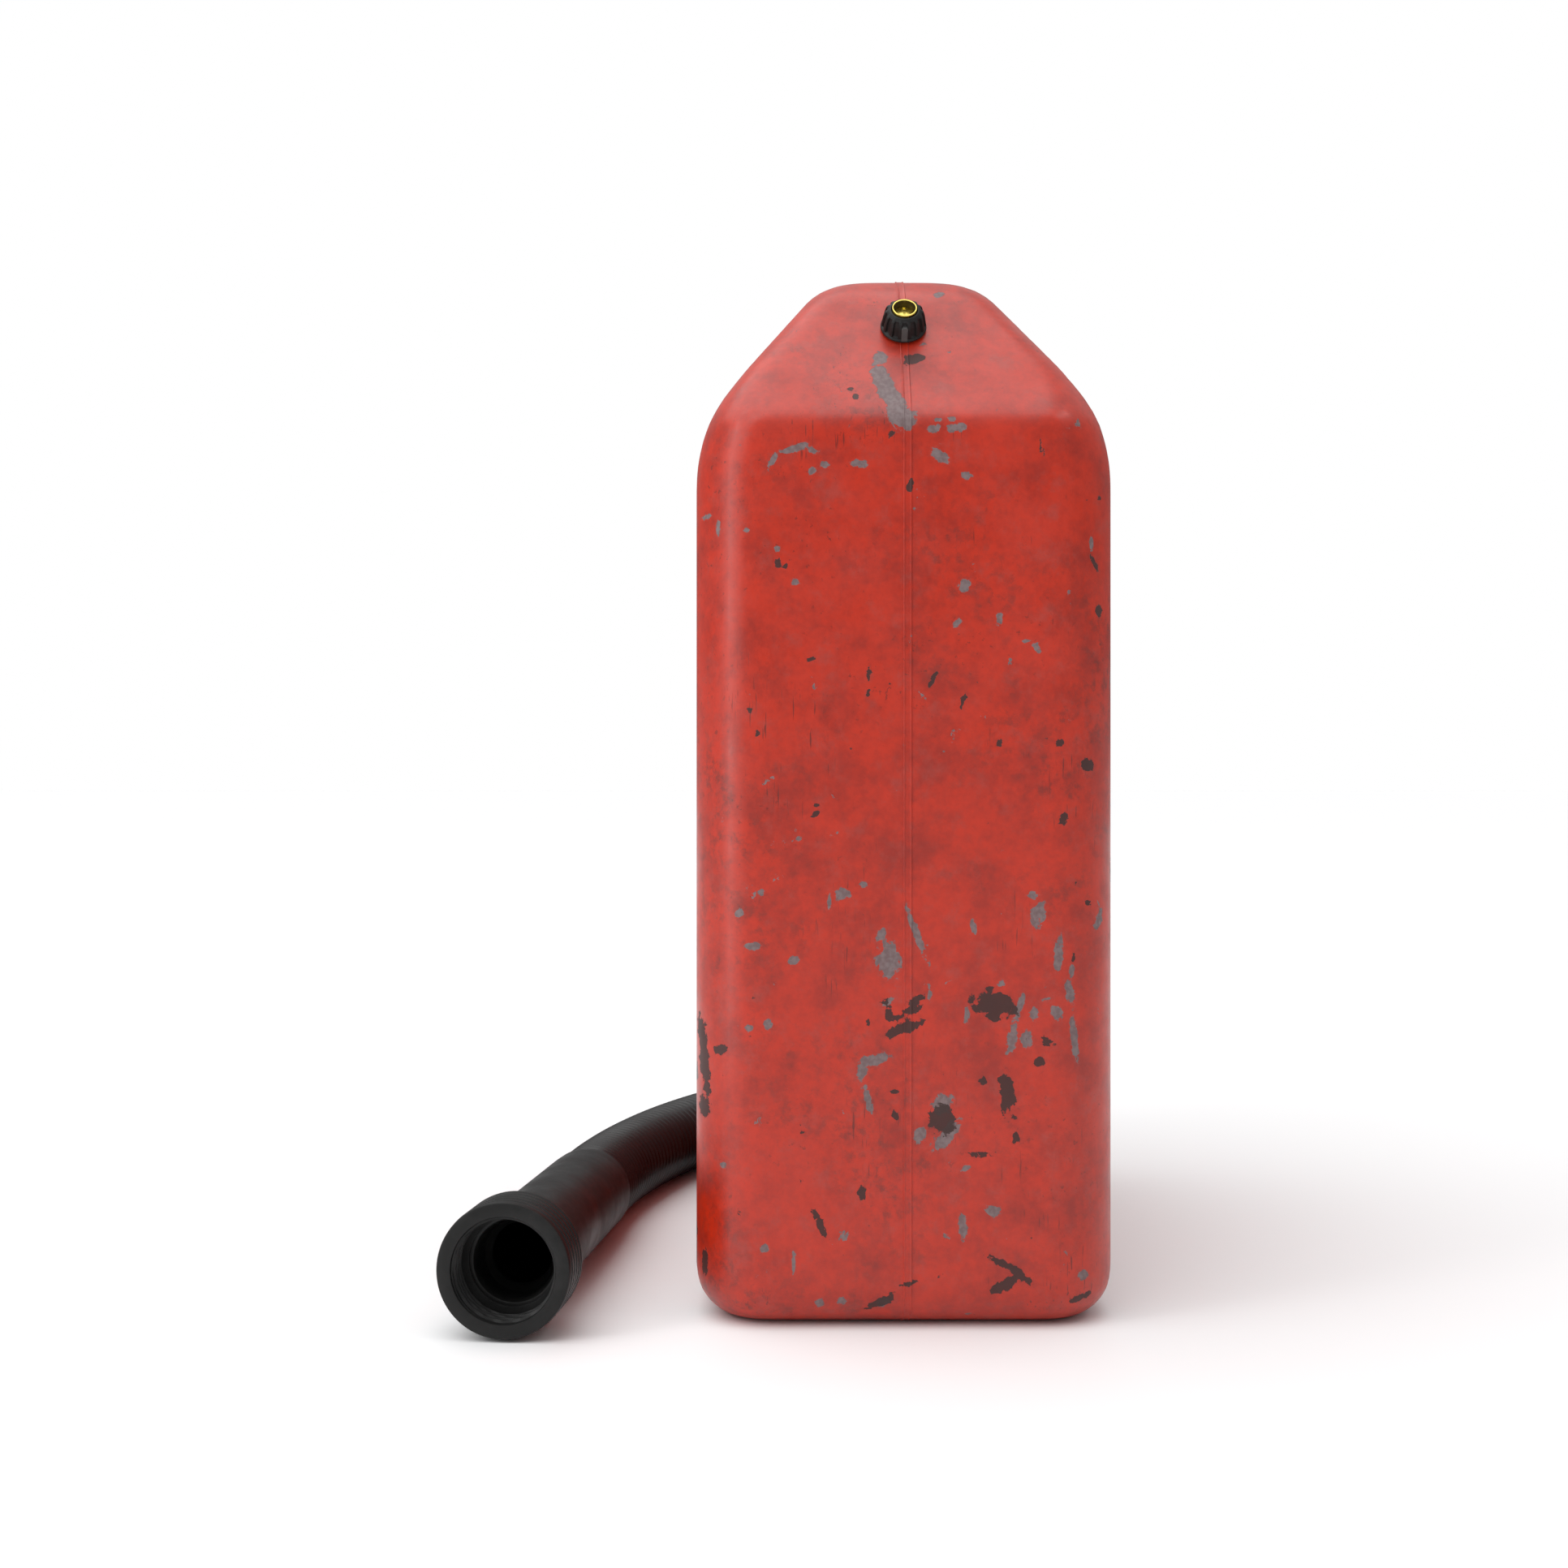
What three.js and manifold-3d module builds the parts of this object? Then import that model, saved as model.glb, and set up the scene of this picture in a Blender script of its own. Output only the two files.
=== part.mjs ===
// A 20 litre painted steel jerry can with its vent, its filler and a loose flexible pouring spout beside it.
// Millimetres, +Z up. X runs across the can, Y runs from the vent end (-Y) to the filler end (+Y).
// The origin is on the ground under the middle of the can.
import * as THREE from "three";
import { mergeVertices } from "three/addons/utils/BufferGeometryUtils.js";
import Module from "manifold-3d";

const wasm = await Module();
wasm.setup();

// ---------- driving dimensions ----------
const CAN = { width: 180, length: 345, height: 457, wall: 1.0 };
// Where the roof starts on the broad sides and on the ends, and its slopes in degrees.
const SHOULDER = { sideZ: 381, endZ: 383.5, sideIncline: 53, endIncline: 55 };
// Roundings seen from the side, then in plan for the upright corners at the wall and at the top.
const RADII = {
  base: 20,
  sideShoulder: 65,
  sideTop: 32,
  endShoulder: 16,
  endTop: 35,
  plan: 31,
  planTop: 13,
};
// The heights between which the upright corners tighten into the roof's hips.
const HIPS = { fromZ: 374, toZ: 414, levels: [390, 402, 414] };
// The hand gap cut across the roof.
const SADDLE = { floorZ: 392, floorHalfLength: 58, wallLean: 14, floorRadius: 12 };
// The pressed cross on each broad side.
const SWAGE = { depth: 3, width: 30, halfLength: 118, bottomZ: 75, topZ: 325 };
const SEAM = { width: 3, proud: 0.4, clearOfGround: 0.1 };
const HANDLE = { z: 440, radius: 13, bore: 11, ferruleRadius: 17, ferruleLength: 6 };
const GAP = 0.3; // between pieces that touch

const VENT = { z: 427.6, neckRadius: 4.4, threadRadius: 4.9, bore: 2.2, lip: 5.0 };
const VENT_CAP = { radius: 10, ribs: 14 };
const FILLER = { z: 430, neckRadius: 20.2, threadRadius: 21.7, bore: 17.5, lip: 18, threadPitch: 4 };
const FILLER_CAP = { radius: 28, ribs: 18 };

const COLLAR = { radius: 28.2, length: 28, mouthRadius: 22.2, threadRadius: 20.7, grooves: 4, threads: 4 };
const CUFF = { radius: 22, length: 157, bore: 18.5, webBore: 13.1 };
const HOSE = { radius: 21.3, bore: 18.5, sides: 12 };
const NOZZLE = { length: 95, baseRadius: 17, tipRadius: 11.5, wall: 2.2 };

// The spout lies beside the can: where its mouth is, and which way its stiff end points.
const SPOUT_MOUTH = new THREE.Vector3(-167.5, -188, 29.3);
const SPOUT_HEADING = 4.9; // degrees from +Y towards +X
const SPOUT_DROP = 2.04; // degrees downwards

// The hose's centreline from the cuff to the nozzle, along the ground and round the can's rear corner.
const HOSE_ROUTE = [
  [-151.7, -3.2, 22.5],
  [-150.1, 14.9, 22.0],
  [-148.0, 32.9, 21.6],
  [-145.1, 50.8, 21.4],
  [-141.4, 68.5, 21.4],
  [-137.1, 86.1, 21.4],
  [-132.2, 103.5, 21.4],
  [-126.8, 120.7, 21.4],
  [-120.7, 137.7, 21.4],
  [-113.9, 154.5, 21.4],
  [-106.5, 171.0, 21.4],
  [-98.4, 187.1, 21.4],
  [-89.3, 202.7, 21.7],
  [-78.8, 217.4, 22.4],
  [-66.9, 230.9, 23.4],
];

// ---------- helpers ----------
const radians = THREE.MathUtils.degToRad;
const V2 = (x, y) => new THREE.Vector2(x, y);
const V3 = (x, y, z) => new THREE.Vector3(x, y, z);

// A closed geometry as a manifold-3d solid, moved by a matrix.
function solid(geometry, matrix = new THREE.Matrix4()) {
  const bare = geometry.clone();
  bare.deleteAttribute("normal");
  bare.deleteAttribute("uv");
  const merged = mergeVertices(bare.applyMatrix4(matrix), 1e-4);
  return new wasm.Manifold(
    new wasm.Mesh({
      numProp: 3,
      vertProperties: merged.attributes.position.array,
      triVerts: new Uint32Array(merged.index.array),
    }),
  );
}

// A manifold-3d solid as a geometry.
function geometryOf(made) {
  const mesh = made.getMesh();
  const geometry = new THREE.BufferGeometry();
  geometry.setAttribute("position", new THREE.BufferAttribute(mesh.vertProperties, 3));
  geometry.setIndex(new THREE.BufferAttribute(mesh.triVerts, 1));
  geometry.computeVertexNormals();
  return geometry;
}

// A closed outline of [radius, height] pairs turned about Z. The outline may lie off the axis.
function turned(outline, segments) {
  const points = outline.map(([r, h]) => V2(r, h));
  if (THREE.ShapeUtils.isClockWise(points)) points.reverse();
  points.push(points[0].clone());
  return new THREE.LatheGeometry(points, segments).rotateX(Math.PI / 2);
}

const cylinder = (radius, low, high, segments = 32) =>
  turned([[0, low], [radius, low], [radius, high], [0, high]], segments);

// The corners of a polyline rounded by arcs, as points.
function filleted(corners, steps) {
  const out = [];
  corners.forEach(([x, y, radius], i) => {
    const corner = V2(x, y);
    if (!radius || i === 0 || i === corners.length - 1) {
      out.push(corner);
      return;
    }
    const back = V2(...corners[i - 1]).sub(corner).normalize();
    const ahead = V2(...corners[i + 1]).sub(corner).normalize();
    const half = Math.acos(THREE.MathUtils.clamp(back.dot(ahead), -1, 1)) / 2;
    const inwards = back.clone().add(ahead).normalize();
    const centre = corner.clone().addScaledVector(inwards, radius / Math.sin(half));
    const start = corner.clone().addScaledVector(back, radius / Math.tan(half)).sub(centre);
    const turn = Math.PI - 2 * half;
    const way = Math.sign(start.cross(corner.clone().sub(centre)));
    for (let k = 0; k <= steps; k++) {
      out.push(start.clone().rotateAround(V2(0, 0), (way * turn * k) / steps).add(centre));
    }
  });
  return out;
}

// ---------- the can's outer form ----------
// Half-widths against height: up the wall, over the shoulder and to the flat top, moved inwards by inset.
function wallProfile(halfWidth, shoulderZ, incline, shoulderRadius, topRadius, inset) {
  const wall = halfWidth - inset;
  const bendZ = shoulderZ - inset * Math.tan(radians((90 - incline) / 2));
  const topZ = CAN.height - inset;
  const topWidth = wall - (topZ - bendZ) / Math.tan(radians(incline));
  const corners = [
    [0, inset],
    [wall, inset, RADII.base - inset],
    [wall, bendZ, shoulderRadius - inset],
    [topWidth, topZ, topRadius - inset],
    [0, topZ],
  ];
  return filleted(corners, 4).slice(1, -1);
}

function widthAt(profile, z) {
  const above = profile.findIndex((p) => p.y >= z - 1e-6);
  if (above <= 0) return profile[above < 0 ? profile.length - 1 : 0].x;
  const [low, high] = [profile[above - 1], profile[above]];
  return THREE.MathUtils.lerp(low.x, high.x, (z - low.y) / Math.max(high.y - low.y, 1e-6));
}

// A rounded rectangle at one height, as a ring of points.
function planRing(halfX, halfY, radius, z) {
  const steps = 5;
  const ring = [];
  for (let quarter = 0; quarter < 4; quarter++) {
    const signX = [1, -1, -1, 1][quarter];
    const signY = [1, 1, -1, -1][quarter];
    for (let k = 0; k <= steps; k++) {
      const angle = (Math.PI / 2) * (quarter + k / steps);
      ring.push(
        V3(
          signX * (halfX - radius) + radius * Math.cos(angle),
          signY * (halfY - radius) + radius * Math.sin(angle),
          z,
        ),
      );
    }
  }
  return ring;
}

// Rings of equal length joined into a closed skin, with flat ends.
function loft(rings) {
  const count = rings[0].length;
  const points = rings.flat();
  const index = [];
  for (let i = 0; i + 1 < rings.length; i++) {
    for (let k = 0; k < count; k++) {
      const next = (k + 1) % count;
      const [a, b, c, d] = [i * count + k, i * count + next, (i + 1) * count + next, (i + 1) * count + k];
      index.push(a, b, c, a, c, d);
    }
  }
  const last = (rings.length - 1) * count;
  for (let k = 1; k + 1 < count; k++) {
    index.push(0, k + 1, k);
    index.push(last, last + k, last + k + 1);
  }
  return new THREE.BufferGeometry().setFromPoints(points).setIndex(index);
}

function hull(inset) {
  const side = wallProfile(
    CAN.width / 2, SHOULDER.sideZ, SHOULDER.sideIncline, RADII.sideShoulder, RADII.sideTop, inset,
  );
  const end = wallProfile(
    CAN.length / 2, SHOULDER.endZ, SHOULDER.endIncline, RADII.endShoulder, RADII.endTop, inset,
  );
  const levels = [...side, ...end].map((p) => p.y).concat(HIPS.levels).sort((p, q) => p - q);
  const heights = levels.filter((z, i) => i === 0 || z - levels[i - 1] > 0.6);
  heights[heights.length - 1] = CAN.height - inset;
  return loft(
    heights.map((z) => {
      const halfX = widthAt(side, z);
      const halfY = widthAt(end, z);
      const tightened = THREE.MathUtils.smoothstep(z, HIPS.fromZ, HIPS.toZ);
      const full = THREE.MathUtils.lerp(RADII.plan, RADII.planTop, tightened) - inset;
      const radius = z < RADII.base ? full - (CAN.width / 2 - inset - halfX) : full;
      return planRing(halfX, halfY, Math.max(radius, 2), z);
    }),
  );
}

// An outline in the YZ plane, as [y, z] points, pushed across the can between two X values.
function acrossCan(outline, fromX, toX) {
  const shape = new THREE.Shape(outline.map(([y, z]) => V2(y, z)));
  const geometry = new THREE.ExtrudeGeometry(shape, { depth: toX - fromX, bevelEnabled: false });
  const basis = new THREE.Matrix4().makeBasis(V3(0, 1, 0), V3(0, 0, 1), V3(1, 0, 0));
  return geometry.applyMatrix4(basis.setPosition(fromX, 0, 0));
}

const box = (x0, y0, z0, x1, y1, z1) =>
  acrossCan([[y0, z0], [y1, z0], [y1, z1], [y0, z1]], x0, x1);

// The space cut across the roof for the hand, grown by a margin on every face.
function saddleCut(margin) {
  const top = CAN.height + 20;
  const lean = Math.tan(radians(SADDLE.wallLean));
  const floor = SADDLE.floorZ - margin;
  const halfFloor = SADDLE.floorHalfLength + margin / Math.cos(radians(SADDLE.wallLean)) - margin * lean;
  const halfTop = halfFloor + (top - floor) * lean;
  const corners = [
    [-halfTop, top],
    [-halfFloor, floor, SADDLE.floorRadius + margin],
    [halfFloor, floor, SADDLE.floorRadius + margin],
    [halfTop, top],
  ];
  return acrossCan(filleted(corners, 4).map((p) => [p.x, p.y]), -CAN.width, CAN.width);
}

// One bar of the pressed cross, on the side given by sign, grown by a margin.
function swageBar(sign, slope, margin) {
  const rise = SWAGE.topZ - SWAGE.bottomZ;
  const length = Math.hypot(rise, 2 * SWAGE.halfLength) + 2 * margin;
  const half = SWAGE.width / 2 + margin;
  const reach = SWAGE.depth + margin;
  const mouth = 2;
  const section = new THREE.Shape([
    V2(-half, mouth),
    V2(half, mouth),
    V2(half - reach, -reach),
    V2(-half + reach, -reach),
  ]);
  const bar = new THREE.ExtrudeGeometry(section, { depth: length, bevelEnabled: false });
  bar.translate(0, 0, -length / 2);
  const along = V3(0, 2 * SWAGE.halfLength * slope, rise).normalize();
  const outwards = V3(sign, 0, 0);
  const basis = new THREE.Matrix4().makeBasis(outwards.clone().cross(along), outwards, along);
  return solid(bar, basis.setPosition((sign * CAN.width) / 2, 0, (SWAGE.bottomZ + SWAGE.topZ) / 2));
}

// The whole can as one lump, moved inwards by inset: the hull less the hand gap and the pressed crosses.
function canLump(inset) {
  let lump = solid(hull(inset)).subtract(solid(saddleCut(inset)));
  for (const sign of [-1, 1]) {
    for (const slope of [-1, 1]) lump = lump.subtract(swageBar(sign, slope, Math.max(inset, 0)));
  }
  return lump;
}

// ---------- the two slanted necks ----------
// A frame on an end slope: its +Z stands square out of the slope. end is -1 for the vent, +1 for the filler.
function slopeFrame(end, z) {
  const y = end * (CAN.length / 2 - (z - SHOULDER.endZ) / Math.tan(radians(SHOULDER.endIncline)));
  const group = new THREE.Group();
  group.position.set(0, y, z);
  group.rotation.x = -end * radians(SHOULDER.endIncline);
  group.updateMatrixWorld(true);
  return group;
}
const ventFrame = slopeFrame(-1, VENT.z);
const fillerFrame = slopeFrame(1, FILLER.z);
const ventHole = solid(cylinder(VENT.neckRadius + GAP, -8, 12, 24), ventFrame.matrixWorld);
const fillerHole = solid(cylinder(FILLER.neckRadius + GAP, -12, 20, 32), fillerFrame.matrixWorld);

// ---------- materials ----------
const paint = new THREE.MeshStandardMaterial({ color: 0xb8321f, roughness: 0.5, metalness: 0.1 });
const blackPlastic = new THREE.MeshStandardMaterial({ color: 0x1c1b1b, roughness: 0.55, metalness: 0 });
const rubber = new THREE.MeshStandardMaterial({ color: 0x141414, roughness: 0.85, metalness: 0 });
const brass = new THREE.MeshStandardMaterial({ color: 0xb59b3c, roughness: 0.3, metalness: 1 });
const steel = new THREE.MeshStandardMaterial({ color: 0x8a8d8f, roughness: 0.4, metalness: 0.9 });

const can = new THREE.Group();
function add(name, geometry, material, parent = can) {
  const mesh = new THREE.Mesh(geometry, material);
  mesh.name = name;
  parent.add(mesh);
  return mesh;
}

// ---------- shells and seam ----------
function addShells() {
  const skin = canLump(0).subtract(canLump(CAN.wall)).subtract(ventHole).subtract(fillerHole);
  const edge = SEAM.width / 2 + GAP;
  const far = CAN.width;
  const right = solid(box(edge, -far * 2, -5, far, far * 2, CAN.height + 5));
  const left = solid(box(-far, -far * 2, -5, -edge, far * 2, CAN.height + 5));
  add("left_shell", geometryOf(skin.intersect(left)), paint);
  add("right_shell", geometryOf(skin.intersect(right)), paint);
}

// The welded strip between the two halves. The two necks cut it into an upper and a lower length.
function addSeam() {
  const half = SEAM.width / 2;
  const slab = solid(box(-half, -CAN.length, SEAM.clearOfGround, half, CAN.length, CAN.height + 5));
  const strip = canLump(-SEAM.proud).intersect(slab).subtract(canLump(CAN.wall));
  const [one, two] = strip.subtract(ventHole).subtract(fillerHole).decompose();
  const isTop = (piece) => piece.boundingBox().min[2] > SADDLE.floorZ - 20;
  add("seam_strip_top", geometryOf(isTop(one) ? one : two), paint);
  add("seam_strip_lower", geometryOf(isTop(one) ? two : one), paint);
}

// ---------- handle ----------
function addHandle() {
  const room = solid(saddleCut(-SEAM.proud - GAP));
  const alongY = new THREE.Matrix4().makeRotationX(-Math.PI / 2).setPosition(0, 0, HANDLE.z);
  const reach = 95;
  const bore = solid(cylinder(HANDLE.bore, -reach, reach, 24), alongY);
  const tube = solid(cylinder(HANDLE.radius, -reach, reach, 24), alongY).subtract(bore).intersect(room);
  add("handle_tube", geometryOf(tube), paint);
  const wallY = SADDLE.floorHalfLength + (HANDLE.z - SADDLE.floorZ) * Math.tan(radians(SADDLE.wallLean));
  for (const [name, end] of [["handle_front_ferrule", -1], ["handle_rear_ferrule", 1]]) {
    const inner = end * (wallY - HANDLE.ferruleLength);
    const low = Math.min(inner, end * reach);
    const high = Math.max(inner, end * reach);
    const through = solid(cylinder(HANDLE.radius + GAP, -reach - 2, reach + 2, 24), alongY);
    const ring = solid(cylinder(HANDLE.ferruleRadius, low, high, 24), alongY).subtract(through);
    add(name, geometryOf(ring.intersect(room)), paint);
  }
}

// A tapered cap body with upright grip ribs round it, joined to the plain turned body.
function ribbed(body, count, lowRadius, lowZ, highRadius, highZ, width) {
  let joined = solid(body);
  const outline = [
    [lowRadius - 1.2, lowZ],
    [lowRadius, lowZ],
    [highRadius, highZ],
    [highRadius - 1.2, highZ],
  ];
  for (let k = 0; k < count; k++) {
    const shape = new THREE.Shape(outline.map(([r, h]) => V2(r, h)));
    const rib = new THREE.ExtrudeGeometry(shape, { depth: width, bevelEnabled: false })
      .translate(0, 0, -width / 2)
      .rotateX(Math.PI / 2)
      .rotateZ((2 * Math.PI * k) / count);
    joined = joined.add(solid(rib));
  }
  return geometryOf(joined);
}

// Rounded thread rings on a neck: [radius, height] pairs going up.
function threadRings(root, crest, firstZ, pitch, count) {
  const rings = [];
  for (let k = 0; k < count; k++) {
    const z = firstZ + k * pitch;
    rings.push([root, z - pitch * 0.35], [crest, z - pitch * 0.12]);
    rings.push([crest, z + pitch * 0.12], [root, z + pitch * 0.35]);
  }
  return rings;
}

// ---------- vent ----------
function addVent() {
  can.add(ventFrame);
  const neck = [
    [VENT.bore, -3],
    [VENT.neckRadius, -3],
    ...threadRings(VENT.neckRadius, VENT.threadRadius, 2.2, 1.6, 2),
    [VENT.neckRadius, VENT.lip],
    [VENT.bore, VENT.lip],
  ];
  add("vent_neck", turned(neck, 24), steel, ventFrame);
  add("vent_gasket", turned([[2.6, 5.3], [4.9, 5.3], [4.9, 5.9], [2.6, 5.9]], 24), rubber, ventFrame);
  const body = [
    [5.3, 0.8],
    [VENT_CAP.radius, 0.8],
    [VENT_CAP.radius, 1.8],
    [9.0, 2.4],
    [8.4, 6.5],
    [7.2, 10.0],
    [6.4, 11.0],
    [5.7, 11.0],
    [5.7, 6.8],
    [0, 6.8],
    [0, 6.2],
    [5.3, 6.2],
  ];
  add("vent_cap", ribbed(turned(body, 28), VENT_CAP.ribs, 9.5, 2.1, 7.7, 9.6, 1.1), blackPlastic, ventFrame);
  const insert = [[0, 7.1], [5.4, 7.1], [5.4, 12.0], [4.75, 12.0], [4.75, 7.7], [0, 7.7]];
  const slot = solid(new THREE.BoxGeometry(1, 9.2, 0.6).translate(0, 0, 7.7));
  add("vent_insert", geometryOf(solid(turned(insert, 28)).subtract(slot)), brass, ventFrame);
}

// ---------- filler ----------
function addFiller() {
  can.add(fillerFrame);
  const neck = [
    [FILLER.bore, -4],
    [FILLER.neckRadius, -4],
    [FILLER.neckRadius, 0.5],
    [23.5, 0.5],
    [23.0, 2.0],
    [FILLER.neckRadius, 2.2],
    ...threadRings(FILLER.neckRadius, FILLER.threadRadius, 6, FILLER.threadPitch, 3),
    [FILLER.neckRadius, FILLER.lip],
    [FILLER.bore, FILLER.lip],
  ];
  add("filler_neck", turned(neck, 28), steel, fillerFrame);
  const gasket = [[17.5, 18.3], [21.8, 18.3], [21.8, 19.9], [17.5, 19.9]];
  add("filler_gasket", turned(gasket, 28), rubber, fillerFrame);
  const body = [
    [22.2, 2.6],
    [FILLER_CAP.radius, 2.6],
    [FILLER_CAP.radius, 4.4],
    [26.0, 5.2],
    [25.0, 13.0],
    [24.0, 20.6],
    [22.4, 22.8],
    [15.0, 22.8],
    [14.2, 22.1],
    [0, 22.1],
    [0, 20.2],
    [22.2, 20.2],
  ];
  const cap = ribbed(turned(body, 32), FILLER_CAP.ribs, 27.0, 4.9, 25.0, 20.4, 2.4);
  add("filler_cap", cap, blackPlastic, fillerFrame);
}

// ---------- spout ----------
// Frames along the spout: +Z of a frame runs from the mouth towards the nozzle.
function frameAlong(point, direction) {
  const group = new THREE.Group();
  group.position.copy(point);
  group.quaternion.setFromUnitVectors(V3(0, 0, 1), direction.clone().normalize());
  return group;
}

const heading = radians(SPOUT_HEADING);
const drop = radians(SPOUT_DROP);
const spoutWay = V3(Math.sin(heading) * Math.cos(drop), Math.cos(heading) * Math.cos(drop), -Math.sin(drop));

function collarOutline() {
  const { radius, length, mouthRadius, threadRadius, grooves, threads } = COLLAR;
  const outline = [[mouthRadius, 0], [radius - 0.8, 0], [radius, 0.8]];
  const landing = (length - 2) / grooves;
  for (let k = 1; k < grooves; k++) {
    const z = 1 + k * landing;
    outline.push([radius, z - 1], [radius - 0.9, z], [radius, z + 1]);
  }
  outline.push([radius, length - 1], [radius - 1, length]);
  outline.push([CUFF.radius + 0.4, length], [CUFF.radius + 0.4, 24.6]);
  outline.push([25.0, 24.6], [25.0, 18.4], [mouthRadius, 17.6]);
  for (let k = threads - 1; k >= 0; k--) {
    const z = 4.4 + k * 3.6;
    outline.push([mouthRadius, z + 1.4], [threadRadius, z], [mouthRadius, z - 1.4]);
  }
  return outline;
}

function addSpout() {
  const head = frameAlong(SPOUT_MOUTH, spoutWay);
  can.add(head);
  add("spout_collar", turned(collarOutline(), 30), blackPlastic, head);
  add("spout_gasket", turned([[18.6, 18.8], [24.4, 18.8], [24.4, 20.6], [18.6, 20.6]], 32), rubber, head);
  const end = COLLAR.length + CUFF.length;
  const cuff = [
    [CUFF.bore, 20.9],
    [24.4, 20.9],
    [24.4, 24.2],
    [CUFF.radius, 24.2],
    [CUFF.radius, end],
    [CUFF.bore + 0.5, end],
    [CUFF.bore + 0.5, 40],
    [CUFF.webBore, 40],
    [CUFF.webBore, 36.5],
    [CUFF.bore, 36.5],
  ];
  add("spout_cuff", turned(cuff, 30), blackPlastic, head);

  const route = new THREE.CatmullRomCurve3(HOSE_ROUTE.map((p) => V3(...p)));
  const ringShape = (radius) =>
    Array.from({ length: HOSE.sides }, (_, k) => {
      const angle = (2 * Math.PI * (k + 0.5)) / HOSE.sides;
      return V2(radius * Math.cos(angle), radius * Math.sin(angle));
    });
  const section = new THREE.Shape(ringShape(HOSE.radius));
  section.holes.push(new THREE.Path(ringShape(HOSE.bore)));
  const hose = new THREE.ExtrudeGeometry(section, { steps: 14, extrudePath: route, bevelEnabled: false });
  add("spout_hose", hose, rubber);

  const tail = frameAlong(route.getPoint(1), route.getTangent(1));
  can.add(tail);
  const ferrule = [[17.3, 0.6], [23, 0.6], [23, 12], [21.5, 14], [17.3, 14]];
  add("spout_ferrule", turned(ferrule, 32), blackPlastic, tail);
  const { length, baseRadius, tipRadius, wall } = NOZZLE;
  const nozzle = [
    [baseRadius - wall, 0.6],
    [baseRadius, 0.6],
    [baseRadius, 18],
    [tipRadius + 1, 40],
    [tipRadius, length - 2],
    [tipRadius - 0.8, length],
    [tipRadius - wall, length],
    [tipRadius - wall + 0.6, 40],
    [baseRadius - wall, 18],
  ];
  add("spout_nozzle", turned(nozzle, 28), blackPlastic, tail);
}

addShells();
addSeam();
addHandle();
addVent();
addFiller();
addSpout();

export default can;
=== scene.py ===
"""A worn red 20 litre jerry can with its vent cap, filler cap, handle and a loose black pouring spout.

Metres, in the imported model's frame: X across the can, Y along it (vent end at -Y), Z up.
"""

import math

import bmesh
import bpy
import numpy as np
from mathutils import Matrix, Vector


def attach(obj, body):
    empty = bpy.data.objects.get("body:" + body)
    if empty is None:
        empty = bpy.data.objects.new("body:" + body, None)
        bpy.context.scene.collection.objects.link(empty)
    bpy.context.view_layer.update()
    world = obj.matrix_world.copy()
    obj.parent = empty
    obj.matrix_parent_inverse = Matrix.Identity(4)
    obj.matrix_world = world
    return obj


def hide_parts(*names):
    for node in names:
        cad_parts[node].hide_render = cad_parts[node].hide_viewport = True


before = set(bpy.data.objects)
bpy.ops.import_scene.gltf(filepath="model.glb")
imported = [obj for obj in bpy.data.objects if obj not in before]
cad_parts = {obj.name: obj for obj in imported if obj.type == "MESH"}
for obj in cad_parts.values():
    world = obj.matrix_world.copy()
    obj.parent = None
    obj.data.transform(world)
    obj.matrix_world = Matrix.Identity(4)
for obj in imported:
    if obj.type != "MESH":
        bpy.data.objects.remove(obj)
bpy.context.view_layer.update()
MM = 0.001
rng = np.random.default_rng(20)
SHARP_ANGLE = 38  # degrees: turned pieces are smooth below this


# ---------- small helpers ----------
def new_object(name, verts, faces, smooth=True):
    """A mesh object from points in millimetres."""
    mesh = bpy.data.meshes.new(name)
    points = [tuple(v) for v in np.asarray(verts, float) * MM]
    mesh.from_pydata(points, [], [tuple(map(int, f)) for f in faces])
    mesh.validate()
    mesh.update()
    obj = bpy.data.objects.new(name, mesh)
    bpy.context.scene.collection.objects.link(obj)
    if smooth:
        mesh.polygons.foreach_set("use_smooth", [True] * len(mesh.polygons))
    return obj


def face_outwards(obj):
    """Turns every face of a closed mesh outwards."""
    work = bmesh.new()
    work.from_mesh(obj.data)
    bmesh.ops.recalc_face_normals(work, faces=work.faces)
    work.to_mesh(obj.data)
    work.free()
    return obj


def grid_faces(rows, columns, closed_rows=False):
    """Quads of a grid of points whose columns run round in a ring."""
    faces = []
    for i in range(rows if closed_rows else rows - 1):
        for k in range(columns):
            a = i * columns + k
            b = i * columns + (k + 1) % columns
            c = ((i + 1) % rows) * columns + (k + 1) % columns
            d = ((i + 1) % rows) * columns + k
            faces.append((a, b, c, d))
    return faces


def frame_matrix(origin, axis, towards=(0, 0, 1)):
    """A frame at origin, in millimetres, with +Z along axis and +Y as near towards as it can be."""
    z = np.array(axis, float)
    z /= np.linalg.norm(z)
    y = np.array(towards, float)
    y -= z * y.dot(z)
    y /= np.linalg.norm(y)
    m = np.eye(4)
    m[:3, 0], m[:3, 1], m[:3, 2], m[:3, 3] = np.cross(y, z), y, z, origin
    return m


def place(points, matrix):
    """Points moved by a 4 by 4 matrix."""
    points = np.asarray(points, float)
    return points @ matrix[:3, :3].T + matrix[:3, 3]


def resample(outline, step):
    """An outline of (radius, height) with points no further apart than step."""
    out = []
    for (r0, h0), (r1, h1) in zip(outline[:-1], outline[1:]):
        n = max(1, int(math.ceil(math.hypot(r1 - r0, h1 - h0) / step)))
        for k in range(n):
            out.append((r0 + (r1 - r0) * k / n, h0 + (h1 - h0) * k / n))
    out.append(outline[-1])
    return out


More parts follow.
